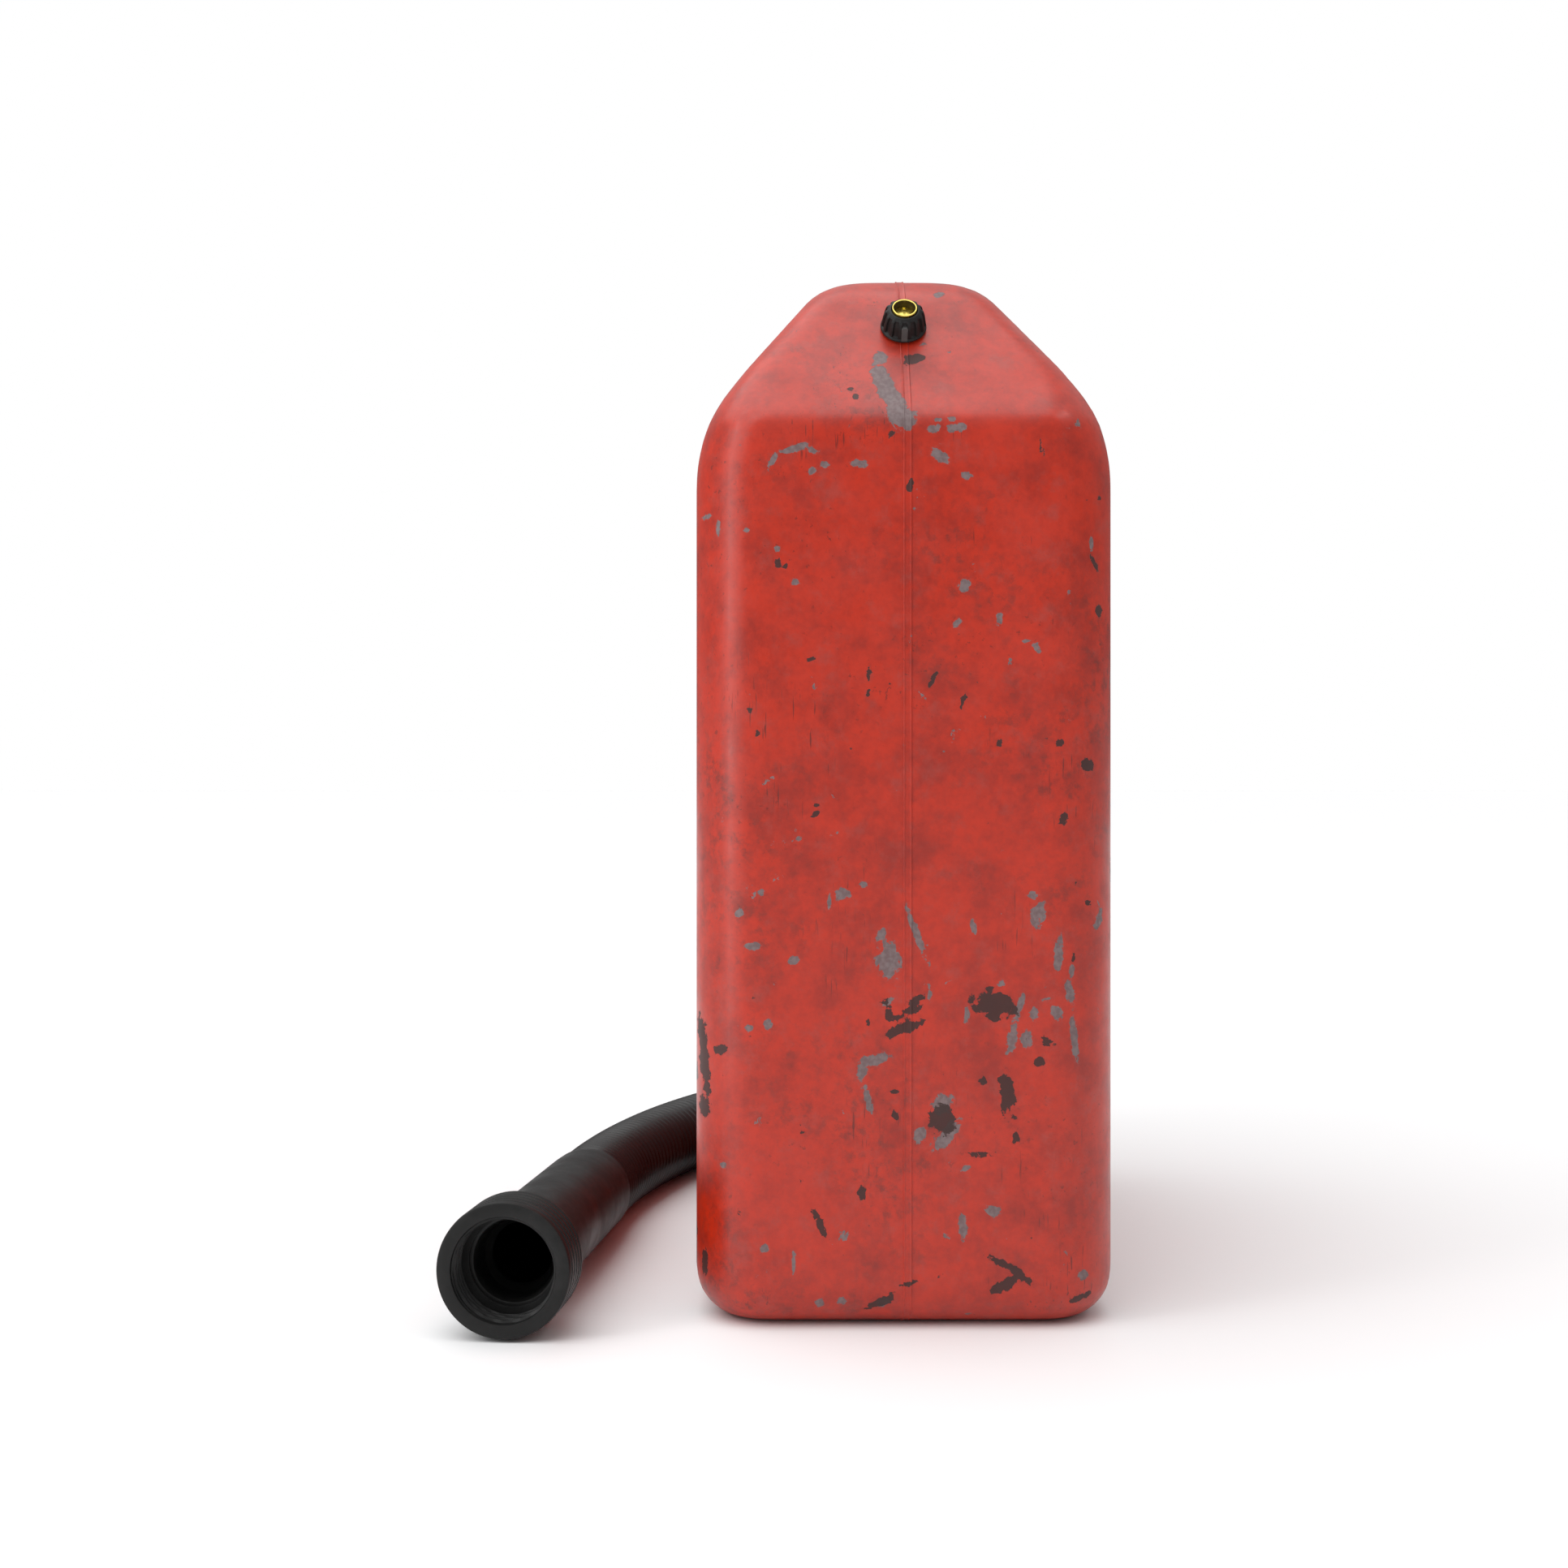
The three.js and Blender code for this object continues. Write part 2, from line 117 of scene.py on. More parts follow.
def rounded(outline, radius, steps=3):
    """A closed outline with its corners cut by short arcs, no wider than a third of the side beside each."""
    pts = [np.array(p, float) for p in outline]
    out = []
    n = len(pts)
    for i, p in enumerate(pts):
        a, b = pts[i - 1] - p, pts[(i + 1) % n] - p
        la, lb = np.linalg.norm(a), np.linalg.norm(b)
        reach = min(radius, la / 3, lb / 3)
        start, end = p + a / la * reach, p + b / lb * reach
        for k in range(steps + 1):
            t = k / steps
            out.append(tuple((1 - t) ** 2 * start + 2 * t * (1 - t) * p + t**2 * end))
    return out


def revolve(name, outline, matrix, segments=96, modulate=None):
    """A closed outline of (radius, height) turned about the frame's Z, its radii changed by modulate."""
    angles = np.arange(segments) * 2 * math.pi / segments
    rows = []
    for r, h in outline:
        radii = np.full(segments, float(r))
        if modulate is not None:
            radii = modulate(radii, h, angles)
        heights = np.full(segments, float(h))
        rows.append(np.stack([radii * np.cos(angles), radii * np.sin(angles), heights], 1))
    points = place(np.concatenate(rows), matrix)
    faces = grid_faces(len(outline), segments, closed_rows=True)
    obj = new_object(name, points, faces)
    work = bmesh.new()
    work.from_mesh(obj.data)
    bmesh.ops.remove_doubles(work, verts=work.verts, dist=1e-6)
    bmesh.ops.dissolve_degenerate(work, edges=work.edges, dist=1e-7)
    bmesh.ops.recalc_face_normals(work, faces=work.faces)
    work.to_mesh(obj.data)
    work.free()
    obj.data.set_sharp_from_angle(angle=math.radians(SHARP_ANGLE))
    return obj


def catmull(points, per_span):
    """A smooth line through points, with per_span pieces between each two."""
    p = np.asarray(points, float)
    p = np.concatenate([[2 * p[0] - p[1]], p, [2 * p[-1] - p[-2]]])
    out = []
    for i in range(1, len(p) - 2):
        a, b, c, d = p[i - 1 : i + 3]
        for k in range(per_span):
            t = k / per_span
            bend = (2 * a - 5 * b + 4 * c - d) * t**2
            twist = (3 * b - a - 3 * c + d) * t**3
            out.append(0.5 * (2 * b + (c - a) * t + bend + twist))
    out.append(p[-2])
    return np.array(out)


def arc_lengths(line):
    """The distance along a line at each of its points."""
    return np.concatenate([[0], np.cumsum(np.linalg.norm(np.diff(line, axis=0), axis=1))])


def along(line, distances):
    """Points and directions at distances along a line."""
    s = arc_lengths(line)
    points = np.stack([np.interp(distances, s, line[:, i]) for i in range(3)], 1)
    tangents = np.gradient(line, s, axis=0)
    ways = np.stack([np.interp(distances, s, tangents[:, i]) for i in range(3)], 1)
    return points, ways / np.linalg.norm(ways, axis=1)[:, None]


# ---------- camera, light and floor ----------
CAMERA_AT, CAMERA_LENS, CAMERA_SENSOR = (-0.0519, -0.9655, 0.2295), 43.456, 36
FLOOR_REACH = 60000  # millimetres from the middle to each edge
FLOOR_COLOUR = (0.88, 0.88, 0.885, 1)
HORIZON_LIGHT, ZENITH_LIGHT, SUN_LIGHT = 0.08, 0.88, 1.8
SUN_AT, SUN_ANGLE = (-0.55, -0.3, 1.6), 75
LIGHTS = [
    # name, place, (width, height), watts, what it points at
    ("left_box", (-1.6, -1.0, 0.7), (0.5, 1.4), 9, (0, 0, 0.25)),
    ("right_box", (1.1, -0.7, 1.7), (0.3, 0.3), 1.5, (0, 0, 0.4)),
]


def aim(obj, target):
    """Points a light at a target."""
    obj.rotation_euler = (Vector(target) - obj.location).to_track_quat("-Z", "Y").to_euler()


def add_camera(scene):
    camera = bpy.data.objects.new("camera", bpy.data.cameras.new("camera"))
    camera.location = CAMERA_AT
    camera.rotation_euler = (math.pi / 2, 0, 0)
    camera.data.lens = CAMERA_LENS
    camera.data.sensor_width = CAMERA_SENSOR
    camera.data.clip_start = 0.01
    scene.collection.objects.link(camera)
    scene.camera = camera
    scene.view_settings.view_transform = "Standard"


def add_floor():
    r = FLOOR_REACH
    corners = [(-r, -r, 0), (r, -r, 0), (r, r, 0), (-r, r, 0)]
    floor = new_object("floor", corners, [(0, 1, 2, 3)], smooth=False)
    material, shader = blank_material("floor_white")
    shader.inputs["Base Color"].default_value = FLOOR_COLOUR
    shader.inputs["Roughness"].default_value = 0.6
    shader.inputs["Specular IOR Level"].default_value = 0.2
    floor.data.materials.append(material)


def add_world(scene):
    """A backdrop that is seen as white. It lights the object from overhead, and hardly from the horizon."""
    world = bpy.data.worlds.new("studio")
    scene.world = world
    world.use_nodes = True
    tree = world.node_tree
    background = tree.nodes["Background"]
    background.inputs["Color"].default_value = (1, 1, 1, 1)
    split = tree.nodes.new("ShaderNodeSeparateXYZ")
    tree.links.new(tree.nodes.new("ShaderNodeTexCoord").outputs["Generated"], split.inputs[0])
    overhead = tree.nodes.new("ShaderNodeMapRange")
    overhead.interpolation_type = "SMOOTHSTEP"
    overhead.inputs["From Min"].default_value = -0.1
    overhead.inputs["From Max"].default_value = 0.95
    overhead.inputs["To Min"].default_value = HORIZON_LIGHT
    overhead.inputs["To Max"].default_value = ZENITH_LIGHT
    tree.links.new(split.outputs["Z"], overhead.inputs["Value"])
    seen = tree.nodes.new("ShaderNodeLightPath").outputs["Is Camera Ray"]
    strength = tree.nodes.new("ShaderNodeMapRange")
    strength.inputs["To Max"].default_value = 1.0
    tree.links.new(overhead.outputs["Result"], strength.inputs["To Min"])
    tree.links.new(seen, strength.inputs["Value"])
    tree.links.new(strength.outputs["Result"], background.inputs["Strength"])


def add_lights(scene):
    sun = bpy.data.objects.new("soft_sun", bpy.data.lights.new("soft_sun", "SUN"))
    sun.data.energy = SUN_LIGHT
    sun.data.angle = math.radians(SUN_ANGLE)
    sun.location = SUN_AT
    aim(sun, (0, 0, 0))
    scene.collection.objects.link(sun)
    for name, spot, size, watts, target in LIGHTS:
        light = bpy.data.objects.new(name, bpy.data.lights.new(name, "AREA"))
        light.data.shape = "RECTANGLE"
        light.data.size, light.data.size_y = size
        light.data.energy = watts
        light.location = spot
        aim(light, target)
        scene.collection.objects.link(light)


# ---------- material building ----------
def blank_material(name):
    """A new material and its Principled shader."""
    material = bpy.data.materials.new(name)
    material.use_nodes = True
    return material, material.node_tree.nodes["Principled BSDF"]


class Nodes:
    """Short calls for the nodes of one material."""

    def __init__(self, name):
        self.material, self.shader = blank_material(name)
        self.tree = self.material.node_tree
        self.coordinates = self.tree.nodes.new("ShaderNodeTexCoord").outputs["Object"]

    def put(self, socket, value):
        if isinstance(value, bpy.types.NodeSocket):
            self.tree.links.new(value, socket)
        else:
            socket.default_value = value

    def scaled(self, x, y, z, turn=0.0):
        node = self.tree.nodes.new("ShaderNodeMapping")
        self.put(node.inputs["Vector"], self.coordinates)
        node.inputs["Scale"].default_value = (x, y, z)
        node.inputs["Rotation"].default_value = (0, turn, 0)
        return node.outputs["Vector"]

    def noise(self, scale, detail=3.0, rough=0.55, vector=None, warp=0.0, seed=0.0):
        node = self.tree.nodes.new("ShaderNodeTexNoise")
        node.noise_dimensions = "4D"
        node.inputs["W"].default_value = seed
        self.put(node.inputs["Vector"], self.coordinates if vector is None else vector)
        node.inputs["Scale"].default_value = scale
        node.inputs["Detail"].default_value = detail
        node.inputs["Roughness"].default_value = rough
        node.inputs["Distortion"].default_value = warp
        return node.outputs["Fac"]

    def math(self, operation, a, b):
        node = self.tree.nodes.new("ShaderNodeMath")
        node.operation = operation
        self.put(node.inputs[0], a)
        self.put(node.inputs[1], b)
        return node.outputs[0]

    def times(self, a, b):
        return self.math("MULTIPLY", a, b)

    def plus(self, a, b):
        return self.math("ADD", a, b)

    def minus(self, a, b):
        return self.math("SUBTRACT", a, b)

    def most(self, a, b):
        return self.math("MAXIMUM", a, b)

    def step(self, value, low, high, to_low=0.0, to_high=1.0):
        """value from low..high to to_low..to_high, smoothly and clamped."""
        node = self.tree.nodes.new("ShaderNodeMapRange")
        node.interpolation_type = "SMOOTHSTEP"
        for socket, v in zip(node.inputs, (value, low, high, to_low, to_high)):
            self.put(socket, v)
        return node.outputs["Result"]

    def mix(self, factor, a, b):
        node = self.tree.nodes.new("ShaderNodeMix")
        node.data_type = "RGBA"
        self.put(node.inputs["Factor"], factor)
        for socket, value in ((node.inputs[6], a), (node.inputs[7], b)):
            self.put(socket, value if isinstance(value, bpy.types.NodeSocket) else (*value, 1))
        return node.outputs[2]

    def attribute(self, name):
        node = self.tree.nodes.new("ShaderNodeAttribute")
        node.attribute_name = name
        return node.outputs["Fac"]

    def bump(self, height, distance, strength):
        node = self.tree.nodes.new("ShaderNodeBump")
        self.put(node.inputs["Height"], height)
        node.inputs["Distance"].default_value = distance
        node.inputs["Strength"].default_value = strength
        return node.outputs["Normal"]

    def finish(self, **sockets):
        for name, value in sockets.items():
            name = name.replace("_", " ")
            self.put(self.shader.inputs[name], value)
        return self.material


# ---------- materials ----------
RED = (0.500, 0.022, 0.004)
RED_DEEP = (0.250, 0.013, 0.006)
RED_DUSTY = (0.330, 0.052, 0.040)
PRIMER = (0.165, 0.145, 0.148)
PRIMER_DARK = (0.115, 0.095, 0.098)
CHIP = (0.030, 0.008, 0.006)
GRIME = (0.100, 0.018, 0.014)
# near black: painted shade for the inside of the filler bore, over its bare steel
BORE_PAINTED_SHADE = (0.03, 0.028, 0.027)


def red_paint(name, worn=True):
    """Old red enamel: mottled and scuffed, with grey primer patches, dark chips and fine scratches."""
    n = Nodes(name)
    cloud = n.step(n.noise(48, 8, 0.72, seed=1.0), 0.42, 0.70)
    colour = n.mix(n.times(cloud, 0.85), RED, RED_DEEP)
    dusty = n.step(n.noise(75, 7, 0.74, seed=2.0), 0.50, 0.68)
    colour = n.mix(n.times(dusty, 0.50), colour, RED_DUSTY)
    grain = n.step(n.noise(260, 3, 0.7, seed=3.0), 0.35, 0.75)
    colour = n.mix(n.times(grain, 0.34), colour, RED_DEEP)
    # grime rubbed into the paint, in broken clouds
    broken = n.step(n.noise(150, 8, 0.78, seed=16.0), 0.48, 0.62)
    grime = n.times(broken, n.step(n.noise(10, 4, 0.6, seed=17.0), 0.44, 0.62))
    colour = n.mix(n.times(grime, 0.60), colour, GRIME)
    # fine dark specks, crowded where the paint is scuffed
    crowd = n.step(n.noise(16, 4, 0.6, seed=4.0), 0.45, 0.72)
    speck = n.step(n.noise(420, 3, 0.6, seed=5.0), 0.62, 0.68)
    speck = n.times(speck, crowd)
    # short scratches: noise stretched one way, in patches
    patch = n.step(n.noise(26, 3, 0.6, seed=6.0), 0.56, 0.66)
    stretched = n.noise(1, 2, 0.5, vector=n.scaled(900, 900, 60, 0.5), seed=7.0)
    scratch = n.times(n.step(stretched, 0.64, 0.68), patch)
    crossed = n.noise(1, 2, 0.5, vector=n.scaled(900, 900, 70, -0.75), seed=8.0)
    scratch = n.most(scratch, n.times(n.step(crossed, 0.65, 0.69), patch))
    colour = n.mix(n.times(n.most(speck, scratch), 0.6), colour, CHIP)
    ragged = n.noise(210, 7, 0.68, warp=0.6, seed=9.0)
    fine = n.noise(520, 2, 0.5, seed=10.0)
    # this makes the rims of the bare places ragged
    edge_noise = n.plus(n.times(n.minus(ragged, 0.5), 2.2), n.times(n.minus(fine, 0.5), 0.3))
    if worn:
        primer_field = n.plus(n.attribute("primer"), edge_noise)
        chip_field = n.plus(n.attribute("chip"), edge_noise)
        stray = n.noise(95, 7, 0.66, warp=0.4, seed=11.0)
        primer = n.most(n.step(primer_field, 0.47, 0.53), n.step(stray, 0.665, 0.680))
        stray_chip = n.noise(120, 7, 0.68, warp=0.5, seed=12.0)
        chip = n.most(n.step(chip_field, 0.47, 0.52), n.step(stray_chip, 0.685, 0.695))
        # the paint is paler round a bare place
        halo = n.step(primer_field, 0.2, 0.5)
        colour = n.mix(n.times(halo, 0.25), colour, RED_DUSTY)
        grey = n.mix(n.step(fine, 0.35, 0.65), PRIMER, PRIMER_DARK)
        colour = n.mix(n.times(primer, 0.9), colour, grey)
        colour = n.mix(n.times(chip, 0.95), colour, CHIP)
        # painted shade: the inside of the filler bore is coloured near black
        inside = n.attribute("inside")
        colour = n.mix(inside, colour, BORE_PAINTED_SHADE)
        gone = n.most(primer, chip)
    else:
        gone = n.step(n.plus(n.noise(90, 5, 0.62, seed=13.0), edge_noise), 0.80, 0.86)
        colour = n.mix(gone, colour, PRIMER)
    rough = n.step(n.noise(30, 5, 0.7, seed=14.0), 0.3, 0.75, 0.30, 0.46)
    rough = n.plus(rough, n.times(gone, 0.18))
    peel = n.noise(120, 2, 0.5, seed=15.0)
    height = n.minus(n.times(peel, 0.25), gone)
    height = n.minus(height, n.times(scratch, 0.5))
    normal = n.bump(height, 0.00012, 0.6)
    return n.finish(Base_Color=colour, Roughness=rough, Specular_IOR_Level=0.55, Normal=normal)


def black_plastic(name, base, pale, rough, gloss=0.28):
    """Moulded black plastic, dusty and lightly scuffed."""
    n = Nodes(name)
    cloud = n.step(n.noise(60, 5, 0.65, seed=21.0), 0.40, 0.75)
    colour = n.mix(n.times(cloud, 0.55), base, pale)
    scuff = n.step(n.noise(1, 3, 0.6, vector=n.scaled(900, 220, 900), seed=22.0), 0.68, 0.76)
    colour = n.mix(n.times(scuff, 0.10), colour, (0.07, 0.068, 0.065))
    speck = n.step(n.noise(700, 2, 0.5, seed=23.0), 0.72, 0.78)
    colour = n.mix(n.times(speck, 0.22), colour, (0.11, 0.105, 0.10))
    roughness = n.step(n.noise(40, 4, 0.6, seed=24.0), 0.3, 0.7, *rough)
    normal = n.bump(n.noise(900, 2, 0.5, seed=25.0), 0.00005, 0.5)
    return n.finish(Base_Color=colour, Roughness=roughness, Specular_IOR_Level=gloss, Normal=normal)


def metal(name, colour, dark, rough):
    """Dull metal, clouded and finely brushed."""
    n = Nodes(name)
    cloud = n.step(n.noise(160, 4, 0.65, seed=31.0), 0.4, 0.7)
    shade = n.mix(cloud, colour, dark)
    roughness = n.step(n.noise(240, 3, 0.6, seed=32.0), 0.3, 0.7, *rough)
    normal = n.bump(n.noise(1, 2, 0.5, vector=n.scaled(300, 300, 2400), seed=33.0), 0.00003, 0.6)
    return n.finish(Base_Color=shade, Roughness=roughness, Metallic=1.0, Normal=normal)


add_camera(bpy.context.scene)
add_floor()
add_world(bpy.context.scene)
add_lights(bpy.context.scene)

PAINT = red_paint("worn_red_paint")
TRIM_PAINT = red_paint("handle_red_paint", worn=False)
# name, base, pale, roughness from and to, gloss
PLASTIC = black_plastic("black_plastic", (0.0085, 0.0082, 0.008), (0.028, 0.027, 0.026), (0.42, 0.62))
COLLAR_PLASTIC = black_plastic(
    "collar_plastic", (0.0075, 0.0075, 0.0073), (0.022, 0.0215, 0.021), (0.36, 0.55)
)
HOSE_RUBBER = black_plastic(
    "hose_rubber", (0.0085, 0.008, 0.008), (0.018, 0.0165, 0.016), (0.30, 0.42), gloss=0.42
)
GASKET_RUBBER = black_plastic("gasket_rubber", (0.012, 0.012, 0.012), (0.03, 0.03, 0.03), (0.7, 0.85))
RIB_GREY = black_plastic("rib_grey", (0.07, 0.07, 0.068), (0.12, 0.118, 0.115), (0.4, 0.55))
BRASS = metal("yellow_brass", (0.80, 0.66, 0.16), (0.52, 0.40, 0.10), (0.20, 0.38))
# a far darker brass: painted shade for the inside of the vent's cup
BRASS_PAINTED_SHADE = metal("brass_cup_painted_shade", (0.16, 0.13, 0.06), (0.07, 0.055, 0.03), (0.4, 0.6))
ZINC = metal("zinc_plate", (0.55, 0.56, 0.57), (0.33, 0.34, 0.35), (0.30, 0.5))


def dress(obj, material, body, slot, *nodes):
    """Material, body, slot (not used) and the CAD nodes that a finished piece stands for."""
    obj.data.materials.clear()
    obj.data.materials.append(material)
    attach(obj, body)
    if nodes:
        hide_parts(*nodes)
    return obj


# ---------- the loose spout ----------
MOUTH = np.array([-167.5, -188.0, 29.3])
HEADING, DROP = math.radians(4.9), math.radians(2.04)
SPOUT_WAY = np.array(
    [math.sin(HEADING) * math.cos(DROP), math.cos(HEADING) * math.cos(DROP), -math.sin(DROP)]
)
COLLAR_LENGTH, CUFF_END = 28.0, 185.0
HOSE_ROUTE = [
    (-151.7, -3.2, 22.5),
    (-150.1, 14.9, 22.0),
    (-148.0, 32.9, 21.6),
    (-145.1, 50.8, 21.4),
    (-141.4, 68.5, 21.4),
    (-137.1, 86.1, 21.4),
    (-132.2, 103.5, 21.4),
    (-126.8, 120.7, 21.4),
    (-120.7, 137.7, 21.4),
    (-113.9, 154.5, 21.4),
    (-106.5, 171.0, 21.4),
    (-98.4, 187.1, 21.4),
    (-89.3, 202.7, 21.7),
    (-78.8, 217.4, 22.4),
    (-66.9, 230.9, 23.4),
]
HEAD = frame_matrix(MOUTH, SPOUT_WAY)
CUFF_RADIUS, RIB_CREST, RIB_VALLEY, RIB_PITCH = 22.0, 21.1, 20.0, 5.6
HOSE_LOWERED = 0.25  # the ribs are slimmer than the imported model's plain tube, so the hose lies lower
# One rib: how far along its pitch, and how far from valley to crest.
RIB_SHAPE = [(0.05, 0), (0.2, 0.12), (0.34, 0.3), (0.44, 0.85)]
RIB_SHAPE += [(0.52, 1), (0.60, 0.85), (0.70, 0.3), (0.84, 0.12)]
TUBE_SEGMENTS = 72


def add_spout_tube():
    """The smooth cuff and the ribbed hose that follows it, as one tube with a bore."""
    straight = [MOUTH + SPOUT_WAY * s for s in np.linspace(COLLAR_LENGTH - 3.6, CUFF_END - 14, 8)]
    hose = catmull(HOSE_ROUTE, 12)
    hose[:, 2] = np.maximum(hose[:, 2] - HOSE_LOWERED, RIB_CREST + 0.05)
    line = np.concatenate([catmull(straight, 4), hose])
    total = arc_lengths(line)[-1]
    cuff_length = arc_lengths(line)[len(line) - len(hose)]
    ribs = int((total - cuff_length - 2) / RIB_PITCH)
    pitch = (total - cuff_length - 2) / ribs
    # (distance, radius) down the outside and back up the bore
    rows = [(0, 19.5), (0, 21.4), (0.6, 22.0)]
    rows += [(s, CUFF_RADIUS) for s in np.linspace(6, cuff_length - 1.6, 26)]
    rows += [(cuff_length - 0.8, 21.9), (cuff_length - 0.1, 21.5)]
    rows += [(cuff_length, 20.6), (cuff_length + 0.4, RIB_VALLEY)]
    for k in range(ribs):
        s0 = cuff_length + 1.0 + k * pitch
        for part, rise in RIB_SHAPE:
            rows.append((s0 + part * pitch, RIB_VALLEY + (RIB_CREST - RIB_VALLEY) * rise))
    rows += [(total, RIB_VALLEY), (total, 18.6)]
    rows += [(s, 18.4) for s in np.linspace(total - 4, cuff_length + 4, 40)]
    rows += [(s, 19.0) for s in np.linspace(cuff_length - 2, 4, 12)]
    distances = np.array([r[0] for r in rows])
    radii = np.array([r[1] for r in rows])
    centres, ways = along(line, distances)
    angles = np.arange(TUBE_SEGMENTS) * 2 * math.pi / TUBE_SEGMENTS
    points = []
    for centre, way, radius in zip(centres, ways, radii):
        side = np.cross(way, (0, 0, 1))
        side /= np.linalg.norm(side)
        up = np.cross(side, way)
        points.append(centre + radius * (np.cos(angles)[:, None] * side + np.sin(angles)[:, None] * up))
    faces = grid_faces(len(rows), TUBE_SEGMENTS, closed_rows=True)
    tube = new_object("spout_tube", np.concatenate(points), faces)
    face_outwards(tube)
    dress(tube, COLLAR_PLASTIC, "can", "black_rubber", "spout_cuff", "spout_hose")
    tube.data.materials.append(HOSE_RUBBER)
    hose_rows = {i for i in range(len(rows)) if rows[i][0] > cuff_length - 0.05}
    for polygon in tube.data.polygons:
        polygon.material_index = 1 if min(polygon.vertices) // TUBE_SEGMENTS in hose_rows else 0
    return tube, line, total


def add_spout():
    tube, line, total = add_spout_tube()

    # collar: five fine grooves outside, a helical thread and a stepped bore inside
    outside = [(21.9, 0.55), (22.15, 0.1), (22.5, 0.0), (27.3, 0.0), (27.75, 0.2), (28.0, 0.7), (28.15, 2.6)]
    groove = [(28.15, -1.25), (27.3, -0.75), (26.9, -0.35), (26.9, 0.35), (27.3, 0.75), (28.15, 1.25)]
    for z in (4.4, 9.2, 14.0, 18.8, 23.6):
        outside += [(r, z + h) for r, h in groove]
    outside += [(28.15, 26.6), (27.8, 27.6), (27.2, 28.0), (22.5, 28.0)]
    outside += [(22.5, 24.6), (25.0, 24.6), (25.0, 18.4), (21.9, 17.6)]
    inside = [(21.9, z) for z in np.arange(17.2, 0.6, -0.2)]
    pitch = 3.3

    def thread(radii, height, angles):
        if radii[0] > 21.95 or height > 17.3:
            return radii
        phase = ((height - pitch * angles / (2 * math.pi)) / pitch) % 1.0
        ridge = np.clip(1.5 - np.abs(phase - 0.5) / 0.15, 0, 1)
        ridge = ridge * ridge * (3 - 2 * ridge)
        fade = min(1.0, max(0.0, (height - 1.4) / 1.0), max(0.0, (15.4 - height) / 1.0))
        return radii - 1.15 * ridge * fade

    collar = revolve("spout_collar_ribbed", outside + inside, HEAD, 180, thread)
    dress(collar, COLLAR_PLASTIC, "spout_collar", "black_plastic", "spout_collar")

    gasket = rounded([(18.8, 18.8), (24.4, 18.8), (24.4, 20.6), (18.8, 20.6)], 0.5)
    gasket = revolve("spout_gasket_ring", gasket, HEAD, 96)
    dress(gasket, GASKET_RUBBER, "can", "black_rubber", "spout_gasket")

    # the cuff's inner seat: a stepped funnel down to a narrower throat
    seat = [(13.2, 37.0), (13.2, 40.0), (18.6, 40.0), (18.6, 36.6), (18.9, 22.0)]
    seat += [(24.2, 22.0), (24.2, 21.0), (17.6, 21.0), (16.6, 24.0), (15.8, 33.5)]
    seat = revolve("spout_seat", rounded(seat, 0.5), HEAD, 96)
    dress(seat, COLLAR_PLASTIC, "can", "black_plastic")

    centre, way = along(line, np.array([total]))
    tail = frame_matrix(centre[0], way[0])
    ferrule = [(17.4, 0.7), (22.2, 0.7), (22.9, 1.4), (22.9, 4.2), (22.4, 4.8)]
    ferrule += [(22.4, 7.0), (22.9, 7.6), (22.9, 11.4), (21.4, 13.7), (17.4, 13.9)]
    grips = 36

    def knurl(radii, height, angles):
        if radii[0] < 22.0 or not 1.0 < height < 11.6:
            return radii
        return radii - 0.45 * np.clip(np.cos(grips * angles), 0, 1)

    ferrule = revolve("spout_ferrule_knurled", resample(rounded(ferrule, 0.4), 2.0), tail, 216, knurl)
    dress(ferrule, PLASTIC, "can", "black_plastic", "spout_ferrule")
    nozzle = [(14.8, 0.8), (16.9, 0.8), (16.9, 17), (16.4, 20), (12.8, 38), (12.4, 41)]
    nozzle += [(11.9, 84), (12.3, 85), (12.3, 88), (11.7, 89)]
    nozzle += [(11.4, 93.5), (10.7, 95.0), (9.7, 95.0), (9.2, 94.0), (9.9, 41), (14.8, 18)]
    nozzle = revolve("spout_nozzle_tapered", resample(rounded(nozzle, 0.8), 6.0), tail, 72)
    dress(nozzle, PLASTIC, "can", "black_plastic", "spout_nozzle")


add_spout()


# ---------- the can's body ----------
HALF_WIDTH, HALF_LENGTH, HEIGHT = 90.0, 172.5, 457.0
SIDE_SHOULDER, END_SHOULDER = 381.0, 383.5
SIDE_INCLINE, END_INCLINE = 53.0, 55.0
PLAN_RADIUS, PLAN_RADIUS_TOP, BASE_RADIUS = 31.0, 13.0, 20.0
HIP_FROM, HIP_RISE = 374.0, 40.0  # the upright corners tighten over this height
SADDLE_FLOOR, SADDLE_HALF, SADDLE_LEAN, SADDLE_CORNER = 392.0, 58.0, 14.0, 12
SADDLE_ABOVE = 20  # how far the hand gap's cut runs past the top
CROSS_MID, CROSS_RISE, CROSS_RUN = 200.0, 125.0, 118.0
CROSS_SECTION = [(-17, 3), (-13.2, -1.2), (-11.5, -3.0), (11.5, -3.0), (13.2, -1.2), (17, 3)]
BORE_RADIUS, BORE_DEPTH = 17.4, 55
VOXEL = 0.0030  # metres
FRONT_FROM = -100  # the vent end is what lies past this Y


